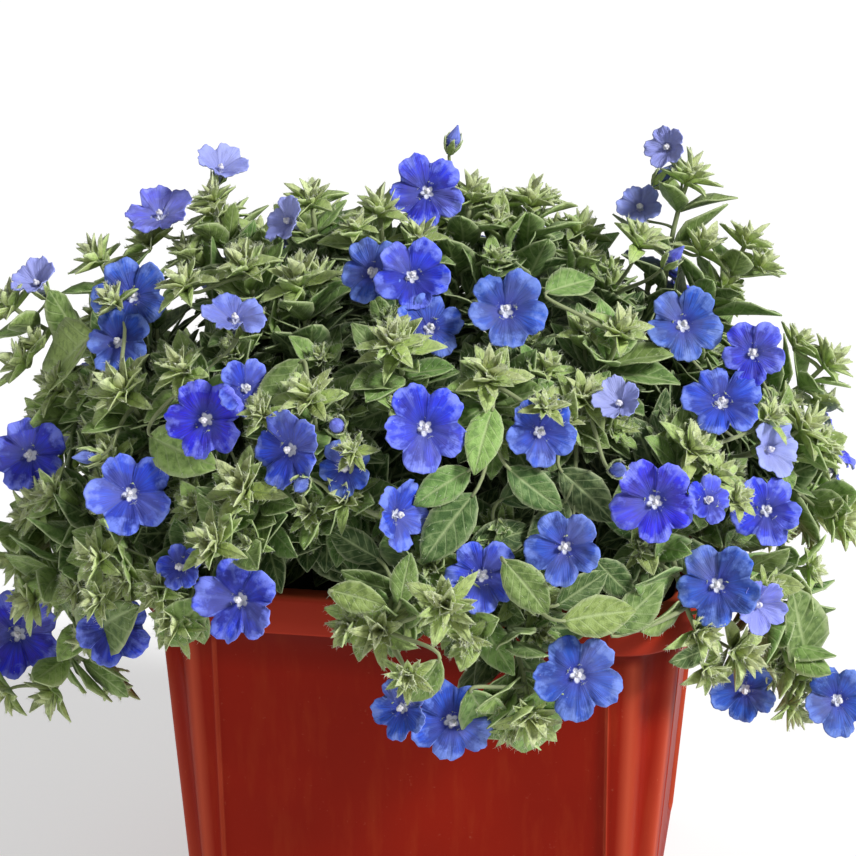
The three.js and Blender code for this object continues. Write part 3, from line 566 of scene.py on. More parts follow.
def rim_corners(bloom):
    """Clefts and lobe corners on the rim of a plain flower."""
    side, over = square_to(bloom["axis"])
    flare, half = math.radians(bloom["flare"]), bloom["across"] / 2
    found = []
    for lobe in range(5):
        for turn in [0, *bloom["corners"]]:
            a = math.radians(bloom["phase"] + 72 * lobe + turn)
            reach = half * (1 if turn else CLEFT_SHARE)
            flat = math.cos(a) * side + math.sin(a) * over
            found.append(bloom["centre"] + reach * (math.sin(flare) * flat + math.cos(flare) * bloom["axis"]))
    return found


def group_try(group, seed, share, node):
    """The flowers of one group at one share of the mound, each slid to where it is found."""
    draw = random_source(seed)
    members, scores = [], []
    for data in group:
        spot = position(data, share)
        axis = bloom_axis(data, spot)
        large = "seen" in data and data["across"] >= LARGE_BLOOM
        shape = dict(
            axis=axis, across=data["across"], flare=data.get("flare", OPEN_FLARE), phase=draw(0, 72),
            clear=data.get("clear", CLEAR_SHARE), corners=[22, 50] if large else [36],
        )
        goal = members[0]["centre"] if members else UP
        way = unit(spot - EYE if "seen" in data else goal - spot)
        tries = [dict(shape, centre=spot + way * s) for s in (SLIDES if members else [0])]
        kept, score = best_try(tries, node, rim_corners)
        members.append(kept)
        scores.append(score)
    return members, min(scores)


blooms = {}
bloom_scores = []
for index, spray in enumerate(SPRAYS):
    spray["groups"] = []
    for g, group in enumerate(spray["blooms"]):
        node = f"bloom_{spray['name']}_{g + 1}"
        seed = 1000 * (index + 1) + 10 * g + 1
        tries = [group_try(group, seed, share, node) for share in BLOOM_SHARES]
        members, score = max(tries, key=lambda one: one[1])
        blooms[node] = members
        spray["groups"].append(members)
        bloom_scores.append(score)
print(sum(map(len, blooms.values())), "flowers; the poorest match finds", round(min(bloom_scores), 2))

# %% The stems, shoots, stalks and leaves that were kept
MAIN_RADIUS, FORK_RADIUS, FORK_SHARE = 1.6, 1.3, 0.46
SHOOT_RADIUS, TIP_RADIUS, STALK_RADIUS, CALYX_RADIUS = 1.1, 0.75, 0.65, 1.4
TIP_SHARES = [0.97, 0.92, 1.02, 0.87, 1.06, 0.82]
TUFT_RADIUS = 11
TUFT = [(1, 0.16), (0.66, 0.5), (1, 0.1), (0.7, 0.45), (0.95, 0.2), (1, 0.12), (0.6, 0.55)]
STALK_STARTS = [0.3, 0.4, 0.5, 0.6, 0.7, 0.8, 0.9]
NEAREST_STARTS = 16
MAIN_TRIES, SHOOT_TRIES, STALK_ROUNDS = 12, 48, 8
WHORLS = [(11, 18.5, 3), (25, 23.5, 2)]
LOWEST_WHORL = 0.2
LEAF_TRIES = [(1, 0), (1, -14), (1, 12), (0.82, 0), (0.82, -16), (0.82, 14), (0.66, -8), (0.66, 8)]
LEAF_WIDTH_SHARE, LEAF_THICKNESS = 0.56, 0.7


def main_try(index, spray, attempt):
    """A main stem from the soil towards the middle of its tips, with its fork moved at each new attempt."""
    middle = sum(position(data, TIP_SHARES[0]) for data in spray["tips"]) / len(spray["tips"])
    root = np.array([*spray["root"], SOIL_TOP + SOIL_CROWN + 3])
    arrive = middle - root
    arrive[2] = max(arrive[2], 15)
    draw = random_source(5000 + 100 * index + attempt)
    fork = root + (middle - root) * FORK_SHARE
    fork[2] = max(fork[2], POT_HEIGHT + 12)
    if attempt:
        fork = fork + stray(draw, 9)
    return Course(root, UP, fork, unit(arrive), [0, 0.35, 0.7, 1])


def shoot_try(index, spray, main, k, data, attempt):
    """A shoot from the main stem to its tip, swaying more at each new attempt, and its tuft of leaves."""
    draw = random_source(9000 + 800 * index + 80 * k + attempt)
    sway = 0.04 * attempt
    tip = position(data, TIP_SHARES[attempt % len(TIP_SHARES)]) + stray(draw, 3 * sway)
    out = outward(tip)
    fall = min(max((tip[2] - POT_HEIGHT - 20) / 40, -0.9), 0.8)
    t = 1 - 0.15 * ((k + attempt // 8) % len(spray["tips"]))
    start = main.stepped(t)
    leave = unit(tip - start) * 1.2 + main.along(t)
    leave = unit(leave + UP * (1.4 if fall < 0 else 0.1) + stray(draw, sway))
    arrive = unit(out + UP * fall + stray(draw, sway))
    way = Course(start, leave, tip, arrive, [0, 0.3, 0.62, 1])
    tuft = dict(tip=tip, axis=unit(out + 0.35 * UP), radius=data.get("size", TUFT_RADIUS), turn=37 * k)
    return dict(way=way, tuft=tuft, start_share=t)


def tuft_ways(tuft):
    """Direction and reach of each leaf of a tuft: reach outwards, lift along the tuft's axis."""
    east, north = square_to(tuft["axis"])
    count = 7 if tuft["radius"] > TUFT_RADIUS else 6
    found = []
    for i, (reach, lift) in enumerate(TUFT[:count]):
        a = math.radians(tuft["turn"]) + 2 * math.pi * i / count
        flat = east * math.cos(a) + north * math.sin(a)
        found.append(tuft["radius"] * (flat * reach + tuft["axis"] * lift))
    return np.array(found)


def stalk_try(index, g, m, attempt, member, starts):
    """A flower's stalk from one of the places nearest to it on the stems."""
    start = starts[attempt % NEAREST_STARTS]
    draw = random_source(20000 + 1000 * index + 100 * g + 10 * m + attempt)
    end = member["centre"] - member["axis"] * (BLOOM_TUBE + GAP)
    leave = unit(end - start["from"]) + 0.3 * outward(start["from"])
    leave = unit(leave + stray(draw, 0.25 * (attempt // NEAREST_STARTS)))
    return dict(way=Course(start["from"], leave, end, member["axis"], [0, 0.6, 1]), start=start)


def leaf_corners(leaf):
    """Shoulders and tip of a plain leaf, above and below."""
    across = unit(np.cross(leaf["along"], leaf["above"]))
    half, length = 0.5 * LEAF_WIDTH_SHARE * leaf["length"], leaf["length"]
    lifted = leaf["root"] + 0.46 * length * leaf["along"] + 0.1 * length * leaf["above"]
    top = [lifted + half * across, leaf["root"] + length * leaf["along"], lifted - half * across]
    return [p - under * leaf["above"] for under in (0, LEAF_THICKNESS) for p in top]


def shoot_leaves(shoot, number, node):
    """The leaves in the whorls of one shoot, each with the try that was kept."""
    way, found = shoot["way"], []
    for i, (depth, leaf_length, count) in enumerate(WHORLS):
        t = 1 - depth / way.length
        if t < LOWEST_WHORL:
            continue
        along = way.along(t)
        side, over = square_to(along)
        for k in range(count):
            draw = random_source(70000 + 97 * number + 11 * i + k)
            turn = math.radians(60 * i + 25 * number + 120 * k)
            away = side * math.cos(turn) + over * math.sin(turn)
            root = way.stepped(t) + away * (SHOOT_RADIUS + (TIP_RADIUS - SHOOT_RADIUS) * t)
            full = leaf_length * draw(0.85, 1.12)
            lean = draw(50, 68)
            tries = []
            for share, more in LEAF_TRIES:
                tilt = math.radians(lean + more)
                direction = along * math.cos(tilt) + away * math.sin(tilt)
                above = along + 0.35 * UP + 0.35 * outward(root)
                above = unit(above - direction * (above @ direction))
                tries.append(dict(root=root, along=direction, above=above, length=full * share, t=t))
            kept, score = best_try(tries, node, leaf_corners)
            if score > 0.4:
                found.append(kept)
    return found


scores = {"stems": [], "shoots": [], "stalks": []}
leaf_total = 0
for index, spray in enumerate(SPRAYS):
    node = f"leafy_stem_{spray['name']}"
    main_radii = MAIN_RADIUS + (FORK_RADIUS - MAIN_RADIUS) * np.array([0, 0.35, 0.7, 1])
    tries = [main_try(index, spray, attempt) for attempt in range(MAIN_TRIES)]
    main, score = best_try(tries, node, lambda way: rings(way, main_radii, 4)[4:])
    scores["stems"].append(score)
    shoots = []
    for k, data in enumerate(spray["tips"]):
        tries = [shoot_try(index, spray, main, k, data, attempt) for attempt in range(SHOOT_TRIES)]
        shoot, score = best_try(tries, node, lambda one: one["tuft"]["tip"] + tuft_ways(one["tuft"]))
        scores["shoots"].append(score)
        shoot["leaves"] = shoot_leaves(shoot, k, node)
        leaf_total += len(shoot["leaves"])
        shoots.append(shoot)
    stems = [main] + [shoot["way"] for shoot in shoots]
    stalks = []
    for g, group in enumerate(spray["groups"]):
        for m, member in enumerate(group):
            end = member["centre"] - member["axis"] * (BLOOM_TUBE + GAP)
            starts = [
                {"host": h, "t": t, "from": stem.stepped(t)}
                for h, stem in enumerate(stems)
                for t in STALK_STARTS
            ]
            starts.sort(key=lambda one: np.linalg.norm(one["from"] - end))
            tries = [
                stalk_try(index, g, m, attempt, member, starts[:NEAREST_STARTS])
                for attempt in range(STALK_ROUNDS * NEAREST_STARTS)
            ]
            radii = [STALK_RADIUS, STALK_RADIUS, CALYX_RADIUS]
            stalk, score = best_try(tries, node, lambda one: rings(one["way"], radii, 3)[3:])
            scores["stalks"].append(score)
            stalk["member"] = member
            stalks.append(stalk)
    spray.update(node=node, main=main, shoots=shoots, stalks=stalks)
for kind, found in scores.items():
    mean = sum(found) / len(found)
    print(len(found), kind, "found; poorest and mean share of corners", round(min(found), 2), round(mean, 2))
print(leaf_total, "leaves in whorls")

# %% [markdown]
# ## Meshes from arrays
#
# Every piece below is a surface worked out with whole arrays: a grid of points given by two parameters, or
# a profile carried along a path. A few helpers list the faces of such grids, close them and hand the arrays
# to Blender. Each point may carry small facts, such as where it lies on its leaf, which the finishes read.

# %% Faces of grids, and a mesh from arrays
def grid_faces(rows, columns, wrap=False):
    """Four-cornered faces of a grid stored row after row; wrap joins the last column to the first."""
    r, c = np.meshgrid(np.arange(rows - 1), np.arange(columns if wrap else columns - 1), indexing="ij")
    a, b = r * columns + c, r * columns + (c + 1) % columns
    return np.stack([a, b, b + columns, a + columns], -1).reshape(-1, 4)


def fan_faces(pole, ring, flip=False):
    """Three-cornered faces from one pole to the ring of points round it."""
    ring = np.asarray(ring)
    pair = [np.roll(ring, -1), ring] if flip else [ring, np.roll(ring, -1)]
    return np.stack([np.full(len(ring), pole), *pair], 1)


def tube_faces(rows, columns):
    """A closed tube: a grid wrapped round, and a fan at each end to a pole. The poles follow the grid."""
    n = rows * columns
    return [
        grid_faces(rows, columns, wrap=True),
        fan_faces(n, np.arange(columns), flip=True),
        fan_faces(n + 1, np.arange(n - columns, n)),
    ]


def slab_faces(rows, columns):
    """A closed slab from two equal grids: the upper first, the lower after it, joined round the rim."""
    n = rows * columns
    upper = grid_faces(rows, columns)
    index = np.arange(n).reshape(rows, columns)
    rim = np.concatenate([index[0, :-1], index[:-1, -1], index[-1, :0:-1], index[:0:-1, 0]])
    after = np.roll(rim, -1)
    return np.concatenate([upper, upper[:, ::-1] + n, np.stack([after, rim, rim + n, after + n], 1)])


def many(faces, count, points_each):
    """The faces of one shape, repeated for count shapes whose points follow each other."""
    return (faces[None] + (np.arange(count) * points_each)[:, None, None]).reshape(-1, faces.shape[1])


def signed_volume(points, faces):
    """Volume inside outward faces: the sum of a . (b x c) / 6 over triangles."""
    total = 0.0
    for f in faces:
        for k in range(1, f.shape[1] - 1):
            a, b, c = points[f[:, 0]], points[f[:, k]], points[f[:, k + 1]]
            total += np.einsum("ij,ij->", a, np.cross(b, c)) / 6
    return total


made_triangles = {}


def make_piece(name, points, faces, material, facts=None, smooth=True):
    """A named object from points in millimetres and a list of face arrays, riding on the plant's one body."""
    mesh = bpy.data.meshes.new(name)
    points = np.asarray(points, float).reshape(-1, 3)
    if signed_volume(points, faces) < 0:
        faces = [f[:, ::-1] for f in faces]
    loops = np.concatenate([f.ravel() for f in faces])
    sizes = np.concatenate([np.full(len(f), f.shape[1]) for f in faces])
    mesh.vertices.add(len(points))
    mesh.vertices.foreach_set("co", (points * MM).astype(np.float32).ravel())
    mesh.loops.add(len(loops))
    mesh.loops.foreach_set("vertex_index", loops.astype(np.int32))
    mesh.polygons.add(len(sizes))
    mesh.polygons.foreach_set("loop_start", np.concatenate([[0], np.cumsum(sizes)[:-1]]).astype(np.int32))
    for key, values in (facts or {}).items():
        values = np.asarray(values, np.float32)
        flat = values.ndim == 1
        layer = mesh.attributes.new(key, "FLOAT" if flat else "FLOAT_VECTOR", "POINT")
        layer.data.foreach_set("value" if flat else "vector", values.ravel())
    mesh.update(calc_edges=True)
    mesh.validate()
    if smooth:
        mesh.shade_smooth()
    mesh.materials.append(material)
    piece = bpy.data.objects.new(name, mesh)
    bpy.context.scene.collection.objects.link(piece)
    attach(piece, "root")
    triangles = sum(len(f) * (f.shape[1] - 2) for f in faces)
    made_triangles[name] = triangles
    return piece

# %% [markdown]
# ## Finishes
#
# A finish is a small network of nodes. One function adds any node with its settings and its links and hands
# back one of its outputs. Colours are written as sRGB, the way a screen shows them, and another function
# turns them into the linear values of light. Noise is sized by the real width of its blotches.

# %% Nodes and colours
def linear(hex_colour):
    """sRGB hex to linear light: c / 12.92 below 0.04045, ((c + 0.055) / 1.055)^2.4 above."""
    parts = [int(hex_colour[i : i + 2], 16) / 255 for i in (1, 3, 5)]
    return tuple(c / 12.92 if c <= 0.04045 else ((c + 0.055) / 1.055) ** 2.4 for c in parts) + (1.0,)


def plug(tree, made, inputs):
    """Sets a node's inputs: another node's output is linked, and a colour or a number becomes its value."""
    for key, value in inputs.items():
        if isinstance(value, bpy.types.NodeSocket):
            tree.links.new(value, made.inputs[key])
        else:
            made.inputs[key].default_value = linear(value) if isinstance(value, str) else value


def add_node(tree, kind, inputs=None, out=0, stops=None, **settings):
    """Adds one shader node and gives the output named or numbered out. stops are a colour ramp's places and
    colours."""
    made = tree.nodes.new("ShaderNode" + kind)
    for key, value in settings.items():
        setattr(made, key, value)
    for _ in (stops or [])[2:]:
        made.color_ramp.elements.new(0.5)
    for element, (place, colour) in zip(made.color_ramp.elements if stops else [], stops or []):
        element.position = place
        element.color = linear(colour)
    plug(tree, made, inputs or {})
    return made.outputs[out] if made.outputs else None


def new_finish(name):
    """An empty material: its tree and its shader, already joined to the output."""
    material = bpy.data.materials.new(name)
    material.use_nodes = True
    tree = material.node_tree
    tree.nodes.clear()
    surface = add_node(tree, "BsdfPrincipled")
    add_node(tree, "OutputMaterial", {"Surface": surface})
    return material, tree, surface.node


PER_MM = 1 / MM

# %% [markdown]
# ### Moulded polypropylene
#
# The planter is injection-moulded polypropylene, dyed rust red. The mould gives it a low gloss, and the
# sheet waves a little where it cooled unevenly, which bends the reflections. Dust and water marks, drawn
# out downwards where water ran, pale the colour and dull the gloss. The face of the collar is painted a
# brighter red as a painted highlight, and the wall below it is painted dark as painted shade under the
# collar. The lip, the crests of the corner ribs and the edges of the panels are painted paler as painted
# highlights. An IOR of 1.49 is right for it, with a low specular level for the film of dust.

# %% Rust-red moulded polypropylene
PANEL_LINE = 59.0
CREST_FOOT, CREST_LEAN = 63.6, 0.0248


def planter_finish():
    material, tree, shader = new_finish("moulded_polypropylene")
    where = add_node(tree, "TexCoord", out="Object")
    x, y, z = (add_node(tree, "SeparateXYZ", {0: where}, k) for k in range(3))
    cloud = add_node(tree, "TexNoise", {"Vector": where, "Scale": PER_MM / 45, "Detail": 3.0})
    drawn = add_node(tree, "Mapping", {"Vector": where, "Scale": (1.0, 1.0, 0.16)})
    run = add_node(tree, "TexNoise", {"Vector": drawn, "Scale": PER_MM / 5, "Detail": 5.0, "Roughness": 0.6})
    speck = add_node(tree, "TexNoise", {"Vector": where, "Scale": PER_MM / 1.4, "Detail": 3.0})
    dye = add_node(tree, "Mix", {0: cloud, 6: "#7a1507", 7: "#941d09"}, 2, data_type="RGBA")
    film = add_node(tree, "MapRange", {0: run, 1: 0.5, 2: 0.78, 3: 0.0, 4: 0.25})
    filmed = add_node(tree, "Mix", {0: film, 6: dye, 7: "#a5431f"}, 2, data_type="RGBA")
    dots = add_node(tree, "MapRange", {0: speck, 1: 0.68, 2: 0.8, 3: 0.0, 4: 0.22})
    dotted = add_node(tree, "Mix", {0: dots, 6: filmed, 7: "#c07258"}, 2, data_type="RGBA")
    # painted shade: the wall just under the collar is darkened towards a near-black red, in place of the
    # collar's shadow
    under = add_node(tree, "MapRange", {0: z, 1: 112 * MM, 2: 126 * MM, 3: 0.0, 4: 0.6})
    # painted highlight: the collar's face is mixed towards a brighter red, as where light falls on it
    collar = add_node(tree, "MapRange", {0: z, 1: 126.4 * MM, 2: 127.4 * MM, 3: 0.0, 4: 0.45})
    painted_shade_under_collar = add_node(tree, "Mix", {0: under, 6: dotted, 7: "#3f0d06"}, 2, data_type="RGBA")
    painted_lit_collar = add_node(tree, "Mix", {0: collar, 6: painted_shade_under_collar, 7: "#c9412a"}, 2, data_type="RGBA")
    wall = add_node(tree, "MapRange", {0: z, 1: 121 * MM, 2: 125 * MM, 3: 1.0, 4: 0.0})
    # painted highlights: the top of the lip here, and in the loop below the crests of the corner ribs and the
    # edges of the panels, are mixed towards a pale red
    painted_highlight = add_node(tree, "MapRange", {0: z, 1: 138.6 * MM, 2: 139.8 * MM, 3: 0.0, 4: 0.6})
    rising = add_node(tree, "Math", {0: z, 1: -CREST_LEAN, 2: -CREST_FOOT * MM}, operation="MULTIPLY_ADD")
    for along in (x, y):
        side = add_node(tree, "Math", {0: along}, operation="ABSOLUTE")
        for centre, width, most in ((-PANEL_LINE * MM, 0.8, run), (rising, 3.2, 0.55)):
            off = add_node(tree, "Math", {0: side, 1: centre}, operation="ADD")
            near = add_node(tree, "Math", {0: off}, operation="ABSOLUTE")
            line = add_node(tree, "MapRange", {0: near, 1: 0.25 * MM, 2: width * MM, 3: most, 4: 0.0})
            edge_highlight = add_node(tree, "Math", {0: line, 1: wall}, operation="MULTIPLY")
            painted_highlight = add_node(tree, "Math", {0: painted_highlight, 1: edge_highlight}, operation="MAXIMUM")
    colour = add_node(tree, "Mix", {0: painted_highlight, 6: painted_lit_collar, 7: "#c8593c"}, 2, data_type="RGBA")
    rough = add_node(tree, "MapRange", {0: run, 1: 0.3, 2: 0.75, 3: 0.4, 4: 0.54})
    wave = add_node(tree, "TexNoise", {"Vector": where, "Scale": PER_MM / 18, "Detail": 2.0})
    swell = add_node(tree, "Bump", {"Height": wave, "Strength": 0.3, "Distance": 0.8 * MM})
    grain = add_node(tree, "TexNoise", {"Vector": where, "Scale": PER_MM / 0.5, "Detail": 2.0})
    normal = add_node(tree, "Bump", {"Height": grain, "Strength": 0.1, "Distance": 0.1 * MM, "Normal": swell})
    plug(tree, shader, {
        "Base Color": colour, "Roughness": rough, "IOR": 1.49, "Specular IOR Level": 0.06, "Normal": normal,
    })
    return material


# %% [markdown]
# ### Moist potting soil
#
# Potting soil is peat and bark in crumbs of 1 to 4 mm, nearly black when moist, with a few pale grains of
# perlite. Its shape comes from real crumbs. The finish adds brown from crumb to crumb and a fine bump.

# %% Potting soil
def soil_finish():
    material, tree, shader = new_finish("moist_potting_soil")
    where = add_node(tree, "TexCoord", out="Object")
    peat = add_node(tree, "TexNoise", {
        "Vector": where, "Scale": PER_MM / 1.8, "Detail": 6.0, "Roughness": 0.7,
    })
    brown = add_node(tree, "ValToRGB", {0: peat}, stops=[
        (0.3, "#1a110b"), (0.55, "#33231a"), (0.75, "#54402f"),
    ])
    pale = add_node(tree, "Attribute", out="Fac", attribute_name="pale")
    colour = add_node(tree, "Mix", {0: pale, 6: brown, 7: "#d2cdc0"}, 2, data_type="RGBA")
    normal = add_node(tree, "Bump", {"Height": peat, "Strength": 0.8, "Distance": 0.8 * MM})
    plug(tree, shader, {"Base Color": colour, "Roughness": 0.9, "Normal": normal})
    return material


# %% [markdown]
# ### Silky leaf
#
# The leaves are soft and covered with short silky hairs that lie along the blade. They turn a mid green into
# a grey-green with a pale sheen. A pale midrib runs to the tip, side veins leave it at a slant, and the rim
# is pale too. The green is dark in some patches and downy in others. Young leaves are yellow-green with
# nearly white tips, and old ones are dark. Here blade holds each point's place on its leaf, with u along it
# and v across it, and a number for the leaf. age runs from 0 for the youngest to 1 for the oldest, and is
# raised for leaves deep in the mound, so that they are painted dark as painted shade.

# %% Silky leaf
SIDE_VEINS = 6


def leaf_finish():
    material, tree, shader = new_finish("silky_leaf")
    where = add_node(tree, "TexCoord", out="Object")
    blade = add_node(tree, "Attribute", out="Vector", attribute_name="blade")
    u, v, chance = (add_node(tree, "SeparateXYZ", {0: blade}, k) for k in range(3))
    age = add_node(tree, "Attribute", out="Fac", attribute_name="age")
    # age also carries painted shade: leaves deep inside the mound have a higher age and so a darker green
    green = add_node(tree, "ValToRGB", {0: age}, stops=[
        (0.0, "#d3df92"), (0.22, "#b2ca6c"), (0.5, "#74964a"), (0.8, "#4a6a30"), (1.0, "#2f4a20"),
    ])
    hue = add_node(tree, "MapRange", {0: chance, 3: 0.482, 4: 0.512})
    light = add_node(tree, "MapRange", {0: chance, 3: 0.78, 4: 1.3})
    own = add_node(tree, "HueSaturation", {"Hue": hue, "Value": light, "Color": green})
    young = add_node(tree, "MapRange", {0: age, 1: 0.0, 2: 0.4, 3: 0.8, 4: 0.0})
    tip = add_node(tree, "MapRange", {0: u, 1: 0.4, 2: 1.0, 3: 0.0, 4: young})
    tipped = add_node(tree, "Mix", {0: tip, 6: own, 7: "#e6edc4"}, 2, data_type="RGBA")
    mottle = add_node(tree, "TexNoise", {"Vector": where, "Scale": PER_MM / 2.2, "Detail": 4.0})
    down = add_node(tree, "MapRange", {0: mottle, 1: 0.42, 2: 0.75, 3: 0.0, 4: 0.4})
    downy = add_node(tree, "Mix", {0: down, 6: tipped, 7: "#abc182"}, 2, data_type="RGBA")
    dark = add_node(tree, "MapRange", {0: mottle, 1: 0.34, 2: 0.52, 3: 0.5, 4: 0.0})
    silky = add_node(tree, "Mix", {0: dark, 6: downy, 7: "#39552a"}, 2, data_type="RGBA")
    side = add_node(tree, "Math", {0: v}, operation="ABSOLUTE")
    slant = add_node(tree, "Math", {0: side, 1: -1.6 / SIDE_VEINS, 2: u}, operation="MULTIPLY_ADD")
    turn = add_node(tree, "Math", {0: slant, 1: SIDE_VEINS * 2 * math.pi}, operation="MULTIPLY")
    wave = add_node(tree, "Math", {0: turn}, operation="SINE")
    veins = add_node(tree, "MapRange", {0: wave, 1: 0.8, 2: 1.0, 3: 0.0, 4: 0.3})
    midrib = add_node(tree, "MapRange", {0: side, 1: 0.02, 2: 0.12, 3: 0.6, 4: 0.0})
    lines = add_node(tree, "Math", {0: veins, 1: midrib}, operation="MAXIMUM")
    veined = add_node(tree, "Mix", {0: lines, 6: silky, 7: "#b3c48c"}, 2, data_type="RGBA")
    rim = add_node(tree, "MapRange", {0: side, 1: 0.8, 2: 1.0, 3: 0.0, 4: 0.5})
    colour = add_node(tree, "Mix", {0: rim, 6: veined, 7: "#ccd8a8"}, 2, data_type="RGBA")
    fine = add_node(tree, "TexNoise", {"Vector": where, "Scale": PER_MM / 0.4, "Detail": 2.0})
    height = add_node(tree, "Math", {0: lines, 1: -1.6, 2: fine}, operation="MULTIPLY_ADD")
    normal = add_node(tree, "Bump", {"Height": height, "Strength": 0.6, "Distance": 0.4 * MM})
    plug(tree, shader, {
        "Base Color": colour, "Normal": normal, "Roughness": 0.6, "Sheen Weight": 0.15,
        "Sheen Roughness": 0.45, "Sheen Tint": "#dfe8cf", "Specular IOR Level": 0.35,
    })
    return material


# %% [markdown]
# ### Downy stems and silky hairs
#
# Stems are grey-green, redder towards the soil, and downy. The hairs are real three-sided spikes 0.8 to
# 1.9 mm long. Under bright light they are what makes the plant look silvered. A real hair is 0.03 mm thick.
# These are about 0.14 mm, because thinner ones would not show.

# %% Stem and hair
def stem_finish():
    material, tree, shader = new_finish("downy_stem")
    where = add_node(tree, "TexCoord", out="Object")
    age = add_node(tree, "Attribute", out="Fac", attribute_name="age")
    bark = add_node(tree, "ValToRGB", {0: age}, stops=[(0.0, "#8a9858"), (0.6, "#66704a"), (1.0, "#5f4030")])
    streak = add_node(tree, "TexNoise", {"Vector": where, "Scale": PER_MM / 1.2, "Detail": 4.0})
    colour = add_node(tree, "Mix", {0: streak, 6: bark, 7: "#98a07c"}, 2, data_type="RGBA")
    normal = add_node(tree, "Bump", {"Height": streak, "Strength": 0.5, "Distance": 0.3 * MM})
    plug(tree, shader, {"Base Color": colour, "Roughness": 0.7, "Sheen Weight": 0.3, "Normal": normal})
    return material


def hair_finish():
    material, tree, shader = new_finish("silky_hair")
    age = add_node(tree, "Attribute", out="Fac", attribute_name="age")
    colour = add_node(tree, "Mix", {0: age, 6: "#f0f4e0", 7: "#b6c49a"}, 2, data_type="RGBA")
    plug(tree, shader, {"Base Color": colour, "Roughness": 0.45, "Sheen Weight": 0.3})
    return material


# %% [markdown]
# ### Petal
#
# The flower is one thin blue funnel. Each of its five lobes has a satin stripe down its middle, where it was
# folded in the bud, and fine veins that fan out from the throat. The blue clouds over to lavender, most of
# all at the rim. The folds between the lobes and the ring round the white throat are painted navy as painted
# shade. In petal, the first number runs across a lobe from -0.5 to 0.5, the second from the throat to the
# rim, and the third is the flower's own.
# pale is 1 on the outside of the funnel. Inside it differs from lobe to lobe, and is larger in a flower that
# is still half closed.

# %% Petal
def petal_finish():
    material, tree, shader = new_finish("blue_petal")
    where = add_node(tree, "TexCoord", out="Object")
    petal = add_node(tree, "Attribute", out="Vector", attribute_name="petal")
    across, reach, chance = (add_node(tree, "SeparateXYZ", {0: petal}, k) for k in range(3))
    side = add_node(tree, "Math", {0: across}, operation="ABSOLUTE")
    fan = add_node(tree, "Mapping", {"Vector": petal, "Scale": (24.0, 1.5, 60.0)})
    vein = add_node(tree, "TexNoise", {"Vector": fan, "Scale": 1.0, "Detail": 4.0})
    blue = add_node(tree, "ValToRGB", {0: vein}, stops=[
        (0.3, "#0a1cac"), (0.5, "#1838d6"), (0.68, "#3a5cf2"),
    ])
    shade = add_node(tree, "TexNoise", {"Vector": where, "Scale": PER_MM / 8, "Detail": 3.0})
    dim = add_node(tree, "MapRange", {0: shade, 1: 0.42, 2: 0.56, 3: 0.0, 4: 0.9})
    dimmed = add_node(tree, "Mix", {0: dim, 6: blue, 7: "#0e1c8e"}, 2, data_type="RGBA")
    cloud = add_node(tree, "TexNoise", {
        "Vector": where, "Scale": PER_MM / 4, "Detail": 5.0, "Roughness": 0.6,
    })
    edge = add_node(tree, "MapRange", {0: reach, 1: 0.55, 2: 1.0, 3: -0.1, 4: 0.22})
    mist = add_node(tree, "Math", {0: cloud, 1: edge}, operation="ADD")
    wash = add_node(tree, "MapRange", {0: mist, 1: 0.49, 2: 0.7, 3: 0.0, 4: 1.0})
    washed = add_node(tree, "Mix", {0: wash, 6: dimmed, 7: "#8698fb"}, 2, data_type="RGBA")
    # painted shade: the folds where two lobes meet are darkened to navy
    fold = add_node(tree, "MapRange", {0: side, 1: 0.3, 2: 0.5, 3: 0.0, 4: 0.9})
    folded = add_node(tree, "Mix", {0: fold, 6: washed, 7: "#182694"}, 2, data_type="RGBA")
    satin = add_node(tree, "MapRange", {0: side, 1: 0.02, 2: 0.11, 3: 0.45, 4: 0.0})
    stripe = add_node(tree, "Math", {0: satin, 1: reach}, operation="MULTIPLY")
    striped = add_node(tree, "Mix", {0: stripe, 6: folded, 7: "#96a5f8"}, 2, data_type="RGBA")
    hue = add_node(tree, "MapRange", {0: chance, 3: 0.485, 4: 0.512})
    light = add_node(tree, "MapRange", {0: chance, 3: 0.7, 4: 1.12})
    own = add_node(tree, "HueSaturation", {"Hue": hue, "Saturation": 1.1, "Value": light, "Color": striped})
    # painted shade: the ring round the white throat, down in the funnel, is darkened to navy
    deep = add_node(tree, "MapRange", {0: reach, 1: 0.18, 2: 0.56, 3: 0.9, 4: 0.0})
    deeper = add_node(tree, "Mix", {0: deep, 6: own, 7: "#1b2a9a"}, 2, data_type="RGBA")
    star = add_node(tree, "Math", {0: side, 1: 0.08, 2: reach}, operation="MULTIPLY_ADD")
    throat = add_node(tree, "MapRange", {0: star, 1: 0.16, 2: 0.2, 3: 1.0, 4: 0.0})
    front = add_node(tree, "Mix", {0: throat, 6: deeper, 7: "#f2f4fc"}, 2, data_type="RGBA")
    pale = add_node(tree, "Attribute", out="Fac", attribute_name="pale")
    outside = add_node(tree, "Math", {0: pale, 1: 0.85}, operation="MULTIPLY")
    colour = add_node(tree, "Mix", {0: outside, 6: front, 7: "#b6bdf6"}, 2, data_type="RGBA")
    normal = add_node(tree, "Bump", {"Height": vein, "Strength": 0.6, "Distance": 0.7 * MM})
    plug(tree, shader, {
        "Base Color": colour, "Normal": normal, "Roughness": 0.55, "Sheen Weight": 0.08,
        "Sheen Tint": "#a9b6ff", "Specular IOR Level": 0.2,
    })
    return material


# %% Stamens, and the list of finishes
def stamen_finish():
    material, tree, shader = new_finish("white_stamen")
    where = add_node(tree, "TexCoord", out="Object")
    grain = add_node(tree, "TexNoise", {"Vector": where, "Scale": PER_MM / 0.3, "Detail": 2.0})
    colour = add_node(tree, "Mix", {0: grain, 6: "#f4f3ec", 7: "#d5d3e2"}, 2, data_type="RGBA")
    plug(tree, shader, {"Base Color": colour, "Roughness": 0.6})
    return material


